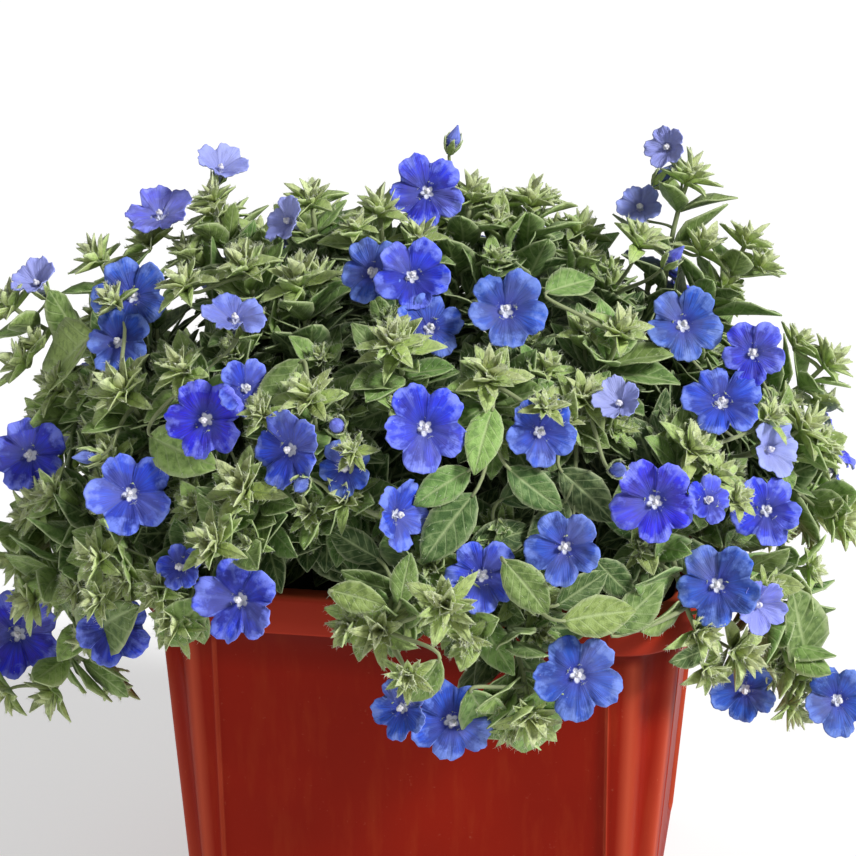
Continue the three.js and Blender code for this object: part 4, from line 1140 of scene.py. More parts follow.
finishes = {
    "planter": planter_finish(),
    "soil": soil_finish(),
    "leaf": leaf_finish(),
    "stem": stem_finish(),
    "hair": hair_finish(),
    "petal": petal_finish(),
    "stamen": stamen_finish(),
}
print("finishes:", ", ".join(finishes))

# %% [markdown]
# ## The planter
#
# The real planter is one moulded shell. It tapers from a stout collar to its base, each side has a wide flat
# panel set back a little, and each corner is a column with two ribs and a groove between them. A surface of
# two parameters suits it: a rounded square runs round the planter, and a profile carries it up the outside,
# over the lip and down the inside. Drain holes are cut through the floor afterwards.

# %% Outline and profile of the planter
POT_FLOOR = 3.0
PANEL_HALF_WIDTH, PANEL_BORDER = 58.5, 2.0
BEAD_STEPS, BEAD_SHARES = np.array([0.2, 0.55, 0.9, 1.3]), [1.0, 0.1, -0.3, 0.0]
GROOVE_HALF_ANGLE, GROOVE_STRETCH = 24, 1.25


def planter_outline(half_width, recess, groove):
    """The outline at one height: a square with round corners. It is set back by recess on the panels, with a
    bead along their edges, and by stretch x groove (1 + cos) / 2 in the middle of each corner."""
    edge = PANEL_HALF_WIDTH + PANEL_BORDER
    bead = PANEL_HALF_WIDTH + BEAD_STEPS
    panel = np.linspace(-PANEL_HALF_WIDTH, PANEL_HALF_WIDTH, 15)
    run = np.concatenate([[-edge], -bead[::-1], panel, bead])
    inset = np.interp(np.abs(run), bead, BEAD_SHARES) * recess
    side = np.stack([run, inset - half_width], 1)
    angle = np.radians(np.linspace(-90, 0, 29)[:-1])
    share = np.clip(np.abs(np.degrees(angle) + 45) / GROOVE_HALF_ANGLE, 0, 1)
    radius = half_width - edge - GROOVE_STRETCH * groove * (1 + np.cos(math.pi * share)) / 2
    corner = np.stack([edge + radius * np.cos(angle), -edge + radius * np.sin(angle)], 1)
    quarter = np.concatenate([side, corner])
    turns = [np.array([[c, s], [-s, c]]) for c, s in ((1, 0), (0, 1), (-1, 0), (0, -1))]
    return np.concatenate([quarter @ turn for turn in turns])


# height, half width, panel recess, corner groove
PROFILE = [
    (0.0, 67.6, 0.0, 0.6), (0.25, 69.1, 0.0, 1.0), (1.3, 70.0, 0.0, 1.5), (4.0, 70.3, 0.0, 1.8),
    (6.0, 70.5, 0.7, 2.0), (7.5, 70.6, 1.1, 2.1), (45.0, 73.4, 1.1, 2.1), (85.0, 76.4, 1.1, 2.1),
    (118.0, 78.8, 1.1, 2.1), (121.5, 79.1, 1.1, 2.1), (123.5, 79.3, 0.5, 2.1), (125.8, 79.5, 0.1, 1.8),
    (126.7, 80.2, 0.2, 0.9), (127.0, 82.2, 0.3, 0.4), (127.3, 83.1, 0.3, 0.3), (128.1, 83.5, 0.3, 0.3),
    (132.0, 83.7, 0.3, 0.3), (138.0, 83.9, 0.3, 0.3), (139.2, 83.7, 0.3, 0.3), (139.8, 83.1, 0.3, 0.3),
    (140.0, 82.3, 0.3, 0.3), (140.0, 78.1, 0.1, 0.3), (139.7, 77.1, 0.0, 0.3), (138.9, 76.5, 0.0, 0.3),
    (120.0, 75.1, 0.0, 0.3), (60.0, 70.7, 0.0, 0.3), (4.2, 66.7, 0.0, 0.3), (3.2, 66.0, 0.0, 0.3),
    (POT_FLOOR, 64.6, 0.0, 0.3),
]
outlines = [planter_outline(w, recess, groove) for _, w, recess, groove in PROFILE]
around = len(outlines[0])
shell = np.concatenate([
    np.concatenate([line, np.full((around, 1), z)], 1) for line, (z, *_) in zip(outlines, PROFILE)
] + [np.array([[0, 0, 0.0], [0, 0, POT_FLOOR]])])
shell_faces = tube_faces(len(PROFILE), around)
planter = make_piece("planter_shell", shell, shell_faces, finishes["planter"])

# %% [markdown]
# The four drains are cut with a boolean, which is simpler and cleaner than a surface with holes in it.

# %% Drains
DRAIN_RADIUS, DRAIN_OFFSET, DRAIN_SIDES = 4.0, 36.0, 32
turn = np.linspace(0, 2 * math.pi, DRAIN_SIDES, endpoint=False)
ring = np.stack([np.cos(turn), np.sin(turn)], 1) * DRAIN_RADIUS
drill_points, drill_faces = [], []
for quarter in range(4):
    a = math.pi / 4 + quarter * math.pi / 2
    middle = np.array([math.cos(a), math.sin(a)]) * DRAIN_OFFSET
    base = quarter * 2 * DRAIN_SIDES
    for z in (-3.0, 6.0):
        drill_points.append(np.concatenate([ring + middle, np.full((DRAIN_SIDES, 1), z)], 1))
    drill_faces += [tuple(base + i for i in reversed(range(DRAIN_SIDES)))]
    drill_faces += [tuple(base + DRAIN_SIDES + i for i in range(DRAIN_SIDES))]
    drill_faces += [tuple(int(x) + base for x in f) for f in grid_faces(2, DRAIN_SIDES, wrap=True)]
drill_mesh = bpy.data.meshes.new("drill")
drill_mesh.from_pydata((np.concatenate(drill_points) * MM).tolist(), [], drill_faces)
drill = bpy.data.objects.new("drill", drill_mesh)
bpy.context.scene.collection.objects.link(drill)
cut = planter.modifiers.new("drains", "BOOLEAN")
cut.operation, cut.object, cut.solver = "DIFFERENCE", drill, "EXACT"
bpy.context.view_layer.update()
cut_mesh = bpy.data.meshes.new_from_object(planter.evaluated_get(bpy.context.evaluated_depsgraph_get()))
planter.modifiers.clear()
planter.data = cut_mesh
cut_mesh.set_sharp_from_angle(angle=math.radians(50))
bpy.data.objects.remove(drill)
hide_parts("planter")
print("planter:", len(cut_mesh.polygons), "faces,", around, "points round it")

# %% [markdown]
# ## The soil
#
# The soil is level near the rim and crowned in the middle. Its top is a disc of rings with uneven height, and
# loose crumbs of 1 to 3 mm lie on it. A few of them are perlite. Sums of many sine waves in random directions
# give the uneven height, because they are smooth, quick and the same each time.

# %% Soil and its crumbs
rng = np.random.default_rng(11)
WAVES = 28
wave_ways = rng.normal(size=(WAVES, 2))
wave_ways /= np.linalg.norm(wave_ways, axis=1, keepdims=True)
wave_lengths = rng.uniform(4, 26, WAVES)
wave_starts = rng.uniform(0, 2 * math.pi, WAVES)


def unevenness(xy):
    """Sum of sines over 2.2: each has a direction of its own and a height of 0.05 x wavelength^0.7."""
    phase = xy @ (wave_ways / wave_lengths[:, None]).T * 2 * math.pi + wave_starts
    return (np.sin(phase) * 0.05 * wave_lengths**0.7).sum(1) / 2.2


SOIL_HALF_WIDTH, SOIL_RIM = 75, 1.2
INNER_FOOT, INNER_LIP, SOIL_GAP = 66.5, 76.5, 0.4


def soil_height(xy):
    """Crown x (1 - distance^2) and the unevenness, above the soil's rim."""
    distance = np.clip(np.abs(xy).max(1) / SOIL_HALF_WIDTH, 0, 1)
    return SOIL_TOP + SOIL_RIM + (SOIL_CROWN - SOIL_RIM) * (1 - distance**2) + unevenness(xy)


top_line = planter_outline(SOIL_HALF_WIDTH + 0.3, 0.0, 0.3)
shares = np.concatenate([[0.02], np.linspace(0.05, 0.97, 32), [1.0]])
levels = [4.0, 30.0, 80.0, SOIL_TOP - 3]
rows = []
for z in levels:
    width = np.interp(z, [POT_FLOOR, POT_HEIGHT], [INNER_FOOT, INNER_LIP]) - SOIL_GAP
    rows.append(np.concatenate([planter_outline(width, 0.0, 0.3), np.full((around, 1), z)], 1))
for share in shares[::-1]:
    flat = top_line * share
    rows.append(np.concatenate([flat, soil_height(flat)[:, None]], 1))
soil_points = np.concatenate(rows + [np.array([[0, 0, levels[0]], [0, 0, soil_height(np.zeros((1, 2)))[0]]])])
soil = make_piece(
    "soil_bed", soil_points, tube_faces(len(rows), around), finishes["soil"],
    {"pale": np.zeros(len(soil_points))},
)
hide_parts("potting_soil")

CRUMBS, PERLITE_SHARE = 1400, 0.05
golden = (1 + 5**0.5) / 2
ball = unit(np.array([
    [-1, golden, 0], [1, golden, 0], [-1, -golden, 0], [1, -golden, 0], [0, -1, golden], [0, 1, golden],
    [0, -1, -golden], [0, 1, -golden], [golden, 0, -1], [golden, 0, 1], [-golden, 0, -1], [-golden, 0, 1],
]))
ball_faces = np.array([
    [0, 11, 5], [0, 5, 1], [0, 1, 7], [0, 7, 10], [0, 10, 11], [1, 5, 9], [5, 11, 4], [11, 10, 2],
    [10, 7, 6], [7, 1, 8], [3, 9, 4], [3, 4, 2], [3, 2, 6], [3, 6, 8], [3, 8, 9], [4, 9, 5], [2, 4, 11],
    [6, 2, 10], [8, 6, 7], [9, 8, 1],
])
places = rng.uniform(-72, 72, (CRUMBS, 2))
sizes = rng.gamma(4, 0.28, CRUMBS).clip(0.5, 2.6)
crumbs = ball[None] * rng.uniform(0.65, 1.3, (CRUMBS, 12, 1)) * sizes[:, None, None]
crumbs *= rng.uniform(0.6, 1.2, (CRUMBS, 1, 3))
crumbs[..., :2] += places[:, None]
crumbs[..., 2] += (soil_height(places) + 0.2 * sizes)[:, None]
pale = np.repeat((rng.random(CRUMBS) < PERLITE_SHARE).astype(float), 12)
make_piece(
    "soil_crumbs", crumbs, [many(ball_faces, CRUMBS, 12)], finishes["soil"],
    {"pale": pale}, smooth=False,
)
print("soil:", made_triangles["soil_bed"], "triangles, and", CRUMBS, "crumbs")

# %% [markdown]
# ## Stems
#
# A stem is a round rod along a smooth curve, thicker at its foot. The plain model followed these curves in a
# few straight steps. Here they are smooth, so each side stem is moved to start on its parent's own curve.

# %% Round stems along the curves
STEM_SAMPLES, STEM_SIDES = 11, 7
BELOW_RADII, MAIN_RADII, SHOOT_RADII = [1.7, 1.6], [1.6, 1.45, FORK_RADIUS], [SHOOT_RADIUS, 0.95, TIP_RADIUS]
STALK_RADII, TWIG_RADII = [0.6, 0.42, 0.42, 0.6, 1.1], [0.75, 0.5]


def rod(course, radii, samples=STEM_SAMPLES, sides=STEM_SIDES):
    """Points of a rod: c(t) + r(t) (side cos a + over sin a), with both ends drawn to a point."""
    t = np.linspace(0, 1, samples)
    centre, along = course.point(t), course.along(t)
    guide = square_to(along[0])[0]
    side = unit(guide - along * (along @ guide)[:, None])
    over = np.cross(along, side)
    a = np.linspace(0, 2 * math.pi, sides, endpoint=False)
    r = np.interp(t, np.linspace(0, 1, len(radii)), radii)[:, None, None]
    ring = side[:, None] * np.cos(a)[:, None] + over[:, None] * np.sin(a)[:, None]
    points = (centre[:, None] + r * ring).reshape(-1, 3)
    return np.concatenate([points, centre[:1], centre[-1:]])


def rod_age(foot, tip):
    """The age of each point of a rod, from its foot to its tip."""
    return np.append(np.repeat(np.linspace(foot, tip, STEM_SAMPLES), STEM_SIDES), [foot, tip])


for spray in SPRAYS:
    main = spray["main"]
    foot = main.handles[0] - UP * (SOIL_CROWN + 12)
    below = Course(foot, UP, main.handles[0], UP, [0, 1])
    courses, ages = [below, main], [(1.0, 0.9), (0.95, 0.6)]
    radii = [BELOW_RADII, MAIN_RADII]
    for shoot in spray["shoots"]:
        shoot["curve"] = shoot["way"].restarted(main.point(shoot["start_share"]))
        courses.append(shoot["curve"])
        radii.append(SHOOT_RADII)
        ages.append((0.6, 0.05))
    stems = [main] + [shoot["curve"] for shoot in spray["shoots"]]
    for stalk in spray["stalks"]:
        start = stalk["start"]
        stalk["curve"] = stalk["way"].restarted(stems[start["host"]].point(start["t"]))
        courses.append(stalk["curve"])
        radii.append(STALK_RADII)
        ages.append((0.4, 0.2))
    spray["rods"] = [rod(course, r) for course, r in zip(courses, radii)]
    spray["rod_ages"] = [rod_age(foot, tip) for foot, tip in ages]
print("stems:", sum(len(s["rods"]) for s in SPRAYS))

# %% [markdown]
# ## Leaves
#
# A blade is a thin slab, narrow at its stalk, widest near its middle and pointed. It is folded a little along
# the midrib, bends down towards the tip and waves at its edges. Every leaf is the same function of u and v
# with numbers of its own, so all leaves of a spray are worked out at once. Leaves that are repeated hundreds
# of times keep to a few dozen faces each.

# %% The blade as a function of u and v
BLADE_U = np.array([0.0, 0.1, 0.27, 0.46, 0.66, 0.84, 1.0])
BLADE_V = np.array([-1.0, -0.45, 0.0, 0.45, 1.0])
SMALL_U, SMALL_V = np.array([0.0, 0.22, 0.5, 0.8, 1.0]), np.array([-1.0, 0.0, 1.0])


def blade_width(u):
    """Half width as a share of the whole: a narrow stalk, then sin(pi u^0.92)^0.8, then a blunt tip."""
    return 0.1 * (1 - u) ** 3 + 0.05 * u**6 + np.sin(math.pi * u**0.92) ** 0.8 * (1 - 0.06 * u)


def blades(leaves, us, vs):
    """Points of many leaves: root + along L u + across (w v p(u) / 2 + L sway sin(pi u)) + above L (cup
    |v|^1.5 p(u) - droop u^2 + wave v^2 sin(2 pi (1.3 u + start)) sin(pi u)), and the same points a thickness
    below."""
    u, v = (x[None] for x in np.meshgrid(us, vs, indexing="ij"))
    length, width = leaves["length"][:, None, None], leaves["width"][:, None, None]
    p = blade_width(np.clip(u, 0, 1))
    across = unit(np.cross(leaves["along"], leaves["above"]))
    chance = leaves["chance"][:, None, None]
    lift = leaves["cup"][:, None, None] * np.abs(v) ** 1.5 * p - leaves["droop"][:, None, None] * u**2
    wave = np.sin(2 * math.pi * (1.3 * u + chance * 7) + np.sign(v)) * np.sin(math.pi * u)
    lift = lift + 0.035 * v**2 * wave
    sway = 0.05 * np.sin(math.pi * u) * (chance - 0.5)
    side = 0.5 * width * v * p + sway * length
    top = (
        leaves["root"][:, None, None]
        + (length * u)[..., None] * leaves["along"][:, None, None]
        + side[..., None] * across[:, None, None]
        + (length * lift)[..., None] * leaves["above"][:, None, None]
    )
    thick = leaves["thick"][:, None, None, None] * leaves["above"][:, None, None]
    n = len(leaves["root"])
    both = np.concatenate([top.reshape(n, -1, 3), (top - thick).reshape(n, -1, 3)], 1)
    uv = np.broadcast_to(np.stack([u[0], v[0]], -1).reshape(1, -1, 2), (n, len(us) * len(vs), 2))
    facts = np.concatenate([uv, np.broadcast_to(leaves["chance"][:, None, None], uv.shape[:2] + (1,))], 2)
    return both, np.concatenate([facts, facts], 1)


def leaf_list(**columns):
    """A table of leaves as arrays, one row a leaf."""
    n = len(columns["root"])
    shapes = {key: (n, 3) if key in ("root", "along", "above") else (n,) for key in columns}
    return {key: np.broadcast_to(np.asarray(v, float), shapes[key]).copy() for key, v in columns.items()}


def joined(tables):
    """Several tables of leaves as one."""
    return {key: np.concatenate([t[key] for t in tables]) for key in tables[0]}


def kept_rows(table, keep):
    """The leaves of a table that keep marks."""
    return {key: values[keep] for key, values in table.items()}


def upright(along, wish):
    """The part of wish that is square to along, made a unit length."""
    return unit(wish - along * np.einsum("ij,ij->i", along, wish)[:, None])


# %% [markdown]
# ### Where leaves grow
#
# Leaves follow each other up a stem by turns of about 137 degrees, the golden angle, so that none shades the
# next. The leaves of the plain model keep their places, and more are added between them, on the shoots and on
# short side twigs that fill the mound. A leaf that would cover a flower's face or cut into the planter is
# left out, as a gardener would find it: flowers open where there is light.

# %% Rules for clear places
flower_list = [m for members in blooms.values() for m in members]
flower_centres = np.array([m["centre"] for m in flower_list])
flower_axes = np.array([m["axis"] for m in flower_list])
flower_clear = np.array([m["clear"] * m["across"] / 2 for m in flower_list])
SAMPLE_U, SAMPLE_V = [0.4, 0.7, 1.0, 0.55, 0.55], [0, 0, 0, 0.6, -0.6]
CLEAR_BEHIND, CLEAR_AHEAD, WIDENING = 2.5, 34, 0.02
MOUTH_HALF_WIDTH, LIP_HALF_WIDTH, LOWEST_LEAF = 74, 86, 62
UPPER_SHARE, LOWER_SHARE, UPPER_FROM = 1.02, 1.14, 40


def clear_leaves(table):
    """Leaves whose sample points keep out of a widening space in front of each flower, off the planter and
    inside the mound."""
    across = unit(np.cross(table["along"], table["above"]))
    ok = np.ones(len(table["root"]), bool)
    for u, v in zip(SAMPLE_U, SAMPLE_V):
        p = table["root"] + table["along"] * (u * table["length"])[:, None]
        p = p + across * (v * table["width"] / 2)[:, None]
        offset = p[:, None] - flower_centres
        ahead = np.einsum("ijk,jk->ij", offset, flower_axes)
        aside = np.linalg.norm(offset - ahead[..., None] * flower_axes, axis=2)
        near = (aside < flower_clear + WIDENING * ahead) & (ahead > -CLEAR_BEHIND) & (ahead < CLEAR_AHEAD)
        wide, height = np.abs(p[:, :2]).max(1), p[:, 2]
        in_soil = (wide < MOUTH_HALF_WIDTH) & (height < SOIL_TOP + 5)
        in_wall = (wide >= MOUTH_HALF_WIDTH) & (wide < LIP_HALF_WIDTH) & (height < POT_HEIGHT + 2)
        limit = np.where(height > MIDDLE[2] + UPPER_FROM, UPPER_SHARE, LOWER_SHARE)
        ok &= ~near.any(1) & ~in_soil & ~in_wall & (mound_share(p) < limit) & (height > LOWEST_LEAF)
    return ok


# %% Leaves of the plain model, leaves between them, and twigs
GOLDEN_TURN = 137.5
LEAF_STEP = 3.1
# reach, rise, number of leaves, age, and width as a share of length
TUFT_RINGS = [(1.0, 0.0, None, 0.22, 0.46), (0.62, 0.5, 6, 0.1, 0.42), (0.3, 0.72, 5, 0.0, 0.4)]
rng = np.random.default_rng(5)


def stem_leaves(curve, length, first_depth, last_depth, step, sizes, number, width_share=0.54):
    """Leaves up one stem at even steps and golden turns, lengths between sizes from tip to foot."""
    depth = np.arange(first_depth, min(last_depth, 0.86 * length), step)
    if not len(depth):
        return None
    depth = depth + rng.uniform(-0.3, 0.3, len(depth)) * step
    t = 1 - depth / length
    along = curve.along(t)
    side = unit(np.cross(UP, along) + 1e-9)
    over = np.cross(along, side)
    turn = np.radians(GOLDEN_TURN * np.arange(len(depth)) + 61 * number)[:, None]
    away = side * np.cos(turn) + over * np.sin(turn)
    lean = np.radians(np.interp(depth, [4, 14, 40], [38, 58, 74]) + rng.uniform(-12, 12, len(depth)))[:, None]
    way = unit(along * np.cos(lean) + away * np.sin(lean))
    full = np.interp(depth, [4, 16, 60], sizes) * rng.uniform(0.8, 1.12, len(depth))
    root = curve.point(t) + away * 0.6
    above = upright(way, along + 0.35 * UP + 0.35 * outward(root) + rng.normal(0, 0.12, root.shape))
    return leaf_list(
        root=root, along=way, above=above, length=full,
        width=full * width_share * rng.uniform(0.88, 1.12, len(depth)),
        cup=rng.uniform(0.05, 0.13, len(depth)), droop=rng.uniform(-0.03, 0.16, len(depth)),
        thick=0.4, chance=rng.random(len(depth)), age=np.interp(depth, [4, 12, 34], [0.28, 0.5, 0.85]),
    )


def tuft_leaves(tuft):
    """A tuft: its long leaves from the plain model, and two rings of shorter, steeper ones inside."""
    reach = tuft_ways(tuft)
    tables = []
    for share, lift, count, age, width in TUFT_RINGS:
        ways = reach
        if count:
            east, north = square_to(tuft["axis"])
            turn = tuft["turn"] + 31 + 360 / count * np.arange(count)
            a = np.radians(turn + rng.normal(0, 11, count))[:, None]
            flat = east * np.cos(a) + north * np.sin(a)
            rise = tuft["axis"] * lift * rng.uniform(0.75, 1.3, (count, 1))
            ways = tuft["radius"] * (flat * share * rng.uniform(0.75, 1.2, (count, 1)) + rise)
        length = np.linalg.norm(ways, axis=1)
        along = ways / length[:, None]
        tables.append(leaf_list(
            root=np.broadcast_to(tuft["tip"] - tuft["axis"] * 0.8, ways.shape), along=along,
            above=upright(along, np.broadcast_to(tuft["axis"], ways.shape) + rng.normal(0, 0.08, ways.shape)),
            length=length + 0.8, width=length * width * rng.uniform(0.72, 1.1, len(ways)),
            cup=rng.uniform(0.1, 0.24, len(ways)), droop=rng.uniform(-0.14, 0.2, len(ways)),
            thick=0.3, chance=rng.random(len(ways)), age=age,
        ))
    return tables


def calyx(centre, axis, phase):
    """Five narrow sepals that hold the foot of a flower or a bud."""
    side, over = square_to(axis)
    a = np.radians(72 * np.arange(5) + phase)[:, None]
    flat = side * np.cos(a) + over * np.sin(a)
    along = unit(flat * 0.52 + axis)
    return leaf_list(
        root=centre + flat * 0.5, along=along, above=upright(along, -flat), length=rng.uniform(6, 7.5, 5),
        width=2.4, cup=-0.05, droop=-0.12, thick=0.3, chance=rng.random(5), age=0.25,
    )


# %% Broad leaves, near tufts and buds on twigs from the nearest stem
SPOTS_PER_STEM = 24
stem_spots, spot_sprays = [], []
for spray in SPRAYS:
    spray["added"] = dict(large=[], small=[], twigs=[])
    for curve in [spray["main"]] + [shoot["curve"] for shoot in spray["shoots"]]:
        stem_spots.append(curve.point(np.linspace(0.15, 0.97, SPOTS_PER_STEM)))
        spot_sprays += [spray] * SPOTS_PER_STEM
stem_spots = np.concatenate(stem_spots)


def sprout(end, arrive):
    """Grows a twig to end, arriving along arrive, from the nearest stem, and gives that stem's spray."""
    nearest = np.argmin(np.linalg.norm(stem_spots - end, axis=1))
    start = stem_spots[nearest]
    spray = spot_sprays[nearest]
    leave = unit(unit(end - start) + 0.5 * outward(start))
    spray["added"]["twigs"].append(Course(start, leave, end, arrive, [0, 1]))
    return spray["added"]


for leaf in BROAD_LEAVES:
    foot, tip = seen_at(*leaf["foot"], leaf["share"]), seen_at(*leaf["tip"], leaf["share"])
    along = unit(tip - foot)
    length = np.linalg.norm(tip - foot) * 1.05
    face = outward(foot) + 0.6 * BACK + rng.normal(0, 0.12, 3)
    sprout(foot + along, along)["large"].append(leaf_list(
        root=[foot], along=[along], above=upright(along[None], face[None]), length=length,
        width=length * LEAF_WIDTH_SHARE, cup=0.08, droop=rng.uniform(0.0, 0.1), thick=0.45,
        chance=rng.random(), age=leaf["age"],
    ))
for spot in NEAR_TUFTS:
    tip = seen_at(*spot["seen"], spot["share"])
    tuft = dict(tip=tip, axis=unit(outward(tip) + 0.3 * UP), radius=spot["size"], turn=rng.uniform(0, 90))
    sprout(tip, tuft["axis"])["small"] += tuft_leaves(tuft)
for bud in BUDS:
    bud["foot"] = seen_at(*bud["seen"], bud["share"])
    level = unit(outward(bud["foot"]) * np.array([1, 1, 0.001]))
    rise = math.radians(bud["lift"])
    bud["axis"] = level * math.cos(rise) + UP * math.sin(rise)
    sprout(bud["foot"], bud["axis"])["small"].append(calyx(bud["foot"] - bud["axis"], bud["axis"], 0))
print("twigs from the nearest stem:", sum(len(s["added"]["twigs"]) for s in SPRAYS))

# %% Every leaf of each spray
TWIG_DEPTHS, TWIG_REACHES = (14, 25, 37, 50, 64), (17, 20, 24, 28, 30)
LOWEST_TWIG, SHORTEST_TWIG, CLEAR_ENOUGH = 0.12, 7, 0.75
TWIG_STEP, INNER_STEP = 2.6, 3.5
SHOOT_LENGTHS, TWIG_LENGTHS, INNER_LENGTHS = (13, 21, 25), (12, 19, 23), (20, 23, 25)
# the age added with depth inside the mound is painted shade
SHADE_SHARE, SHADE_PAINTED_AS_AGE = 0.95, 2.2
for number, spray in enumerate(SPRAYS):
    large, small, twigs = (spray["added"][key] for key in ("large", "small", "twigs"))
    for k, shoot in enumerate(spray["shoots"]):
        way, curve = shoot["way"], shoot["curve"]
        for leaf in shoot["leaves"]:
            shift = curve.point(leaf["t"]) - way.stepped(leaf["t"])
            large.append(leaf_list(
                root=[leaf["root"] + shift], along=[leaf["along"]], above=[leaf["above"]],
                length=leaf["length"], width=leaf["length"] * LEAF_WIDTH_SHARE, cup=0.11,
                droop=rng.uniform(-0.02, 0.1), thick=0.45, chance=rng.random(),
                age=np.interp(1 - leaf["t"], [0.1, 0.6], [0.42, 0.7]),
            ))
        extra = stem_leaves(curve, way.length, 6, 78, LEAF_STEP, SHOOT_LENGTHS, number + k)
        if extra:
            large.append(kept_rows(extra, clear_leaves(extra)))
        small += tuft_leaves(shoot["tuft"])
        for j, (depth, reach) in enumerate(zip(TWIG_DEPTHS, TWIG_REACHES)):
            t = 1 - depth / way.length
            if t < LOWEST_TWIG:
                continue
            along, start = curve.along(t), curve.point(t)
            side, over = square_to(along)
            a = math.radians(GOLDEN_TURN * (j + 1) + 61 * k)
            away = side * math.cos(a) + over * math.sin(a)
            go = unit(along * 0.5 + away * 0.75 + 0.55 * outward(start))
            end = start + go * reach * rng.uniform(0.85, 1.15)
            over_share = mound_share(end)[0]
            if over_share > 1.0:
                end = MIDDLE + (end - MIDDLE) / over_share
            arrive = unit(go + 0.5 * outward(end) + 0.15 * UP)
            twig = Course(start, go, end, arrive, [0, 1])
            if twig.length < SHORTEST_TWIG:
                continue
            facing = unit(outward(end) + 0.35 * UP + 0.3 * arrive)
            tuft = dict(tip=end, axis=facing, radius=rng.uniform(6.5, 9.5), turn=53 * j)
            tuft_tables = joined(tuft_leaves(tuft))
            clear = clear_leaves(tuft_tables)
            if clear.mean() < CLEAR_ENOUGH:
                continue
            small.append(kept_rows(tuft_tables, clear))
            leaves = stem_leaves(
                twig, twig.length, 3, 40, TWIG_STEP, TWIG_LENGTHS, number + j, LEAF_WIDTH_SHARE
            )
            if leaves:
                large.append(kept_rows(leaves, clear_leaves(leaves)))
            twigs.append(twig)
    main = spray["main"]
    inner = stem_leaves(main, main.length, 2, 40, INNER_STEP, INNER_LENGTHS, number)
    if inner:
        large.append(kept_rows(inner, clear_leaves(inner)))
    for stalk in spray["stalks"]:
        member = stalk["member"]
        foot = member["centre"] - member["axis"] * (BLOOM_TUBE + 0.6)
        small.append(calyx(foot, member["axis"], member["phase"]))
    spray["rods"] += [rod(twig, TWIG_RADII) for twig in twigs]
    spray["rod_ages"] += [rod_age(0.3, 0.0)] * len(twigs)
    spray["large"], spray["small"] = joined(large), joined(small)
    # painted shade: leaves deep inside the mound get a higher age, so their green and their hairs are painted
    # darker
    for table in (spray["large"], spray["small"]):
        outer = table["root"] + 0.6 * table["length"][:, None] * table["along"]
        depth = np.clip(SHADE_SHARE - mound_share(outer), 0, 1)
        table["age"] = np.clip(table["age"] + SHADE_PAINTED_AS_AGE * depth, 0, 1)
for size in ("large", "small"):
    print(size, "leaves:", sum(len(spray[size]["root"]) for spray in SPRAYS))

# %% [markdown]
# ### Leaves and hairs become pieces
#
# Each spray becomes three pieces: its stems, its leaves and its hairs. The piece with the leaves stands for
# the spray of the plain model. Hairs grow at random places of the upper side and the edges, and lean towards
# the tip. Each is a thin three-sided spike.

# %% Leaves of a spray, and its hairs
def leaf_mesh(spray):
    """Points, faces, facts and ages of a spray's leaves, the large ones first."""
    points, facts, ages, faces, base = [], [], [], [], 0
    for table, us, vs in ((spray["large"], BLADE_U, BLADE_V), (spray["small"], SMALL_U, SMALL_V)):
        found, where = blades(table, us, vs)
        n, each = found.shape[:2]
        faces.append(many(slab_faces(len(us), len(vs)), n, each) + base)
        points.append(found.reshape(-1, 3))
        facts.append(where.reshape(-1, 3))
        ages.append(np.repeat(table["age"], each))
        base += n * each
    return np.concatenate(points), faces, np.concatenate(facts), np.concatenate(ages)


HAIR_RADIUS, HAIR_LENGTHS = 0.07, (0.8, 1.9)
LARGE_HAIRS, SMALL_HAIRS, EDGE_HAIRS = 22, 20, 0.45


def hair_mesh(spray):
    """Hairs: base p on a blade, tip p + h (above cos b + along sin b + random), three corners round p."""
    points, ages = [], []
    for table, us, vs, count in (
        (spray["large"], BLADE_U, BLADE_V, LARGE_HAIRS), (spray["small"], SMALL_U, SMALL_V, SMALL_HAIRS),
    ):
        found, _ = blades(table, us, vs)
        n = len(found)
        top = found[:, : len(us) * len(vs)].reshape(n, len(us), len(vs), 3)
        u = rng.uniform(0.1, 0.98, (n, count)) * (len(us) - 1)
        edge = rng.random((n, count)) < EDGE_HAIRS
        rim = np.where(rng.random((n, count)) < 0.5, 0.02, 0.98)
        v = np.where(edge, rim, rng.uniform(0.05, 0.95, (n, count))) * (len(vs) - 1)
        i, j = np.minimum(u.astype(int), len(us) - 2), np.minimum(v.astype(int), len(vs) - 2)
        a, b = (u - i)[..., None], (v - j)[..., None]
        leaf = np.arange(n)[:, None]
        foot = (
            top[leaf, i, j] * (1 - a) * (1 - b) + top[leaf, i + 1, j] * a * (1 - b)
            + top[leaf, i, j + 1] * (1 - a) * b + top[leaf, i + 1, j + 1] * a * b
        )
        across = unit(np.cross(table["along"], table["above"]))[:, None]
        out = across * (2 * v / (len(vs) - 1) - 1)[..., None]
        way = 0.55 * table["above"][:, None] + 0.75 * table["along"][:, None] + 0.8 * out
        way = unit(way + rng.normal(0, 0.3, way.shape))
        length = rng.uniform(*HAIR_LENGTHS, (n, count, 1))
        first = unit(np.cross(way, table["above"][:, None] + 0.01))
        second = np.cross(way, first)
        turns = 2 * math.pi * np.arange(3) / 3
        base = [foot - 0.1 * way + HAIR_RADIUS * (first * math.cos(t) + second * math.sin(t)) for t in turns]
        points.append(np.stack(base + [foot + way * length], 2).reshape(-1, 3))
        ages.append(np.repeat(table["age"], count * 4))
    points = np.concatenate(points)
    spike = np.array([[0, 1, 3], [1, 2, 3], [2, 0, 3], [0, 2, 1]])
    return points, many(spike, len(points) // 4, 4), np.concatenate(ages)


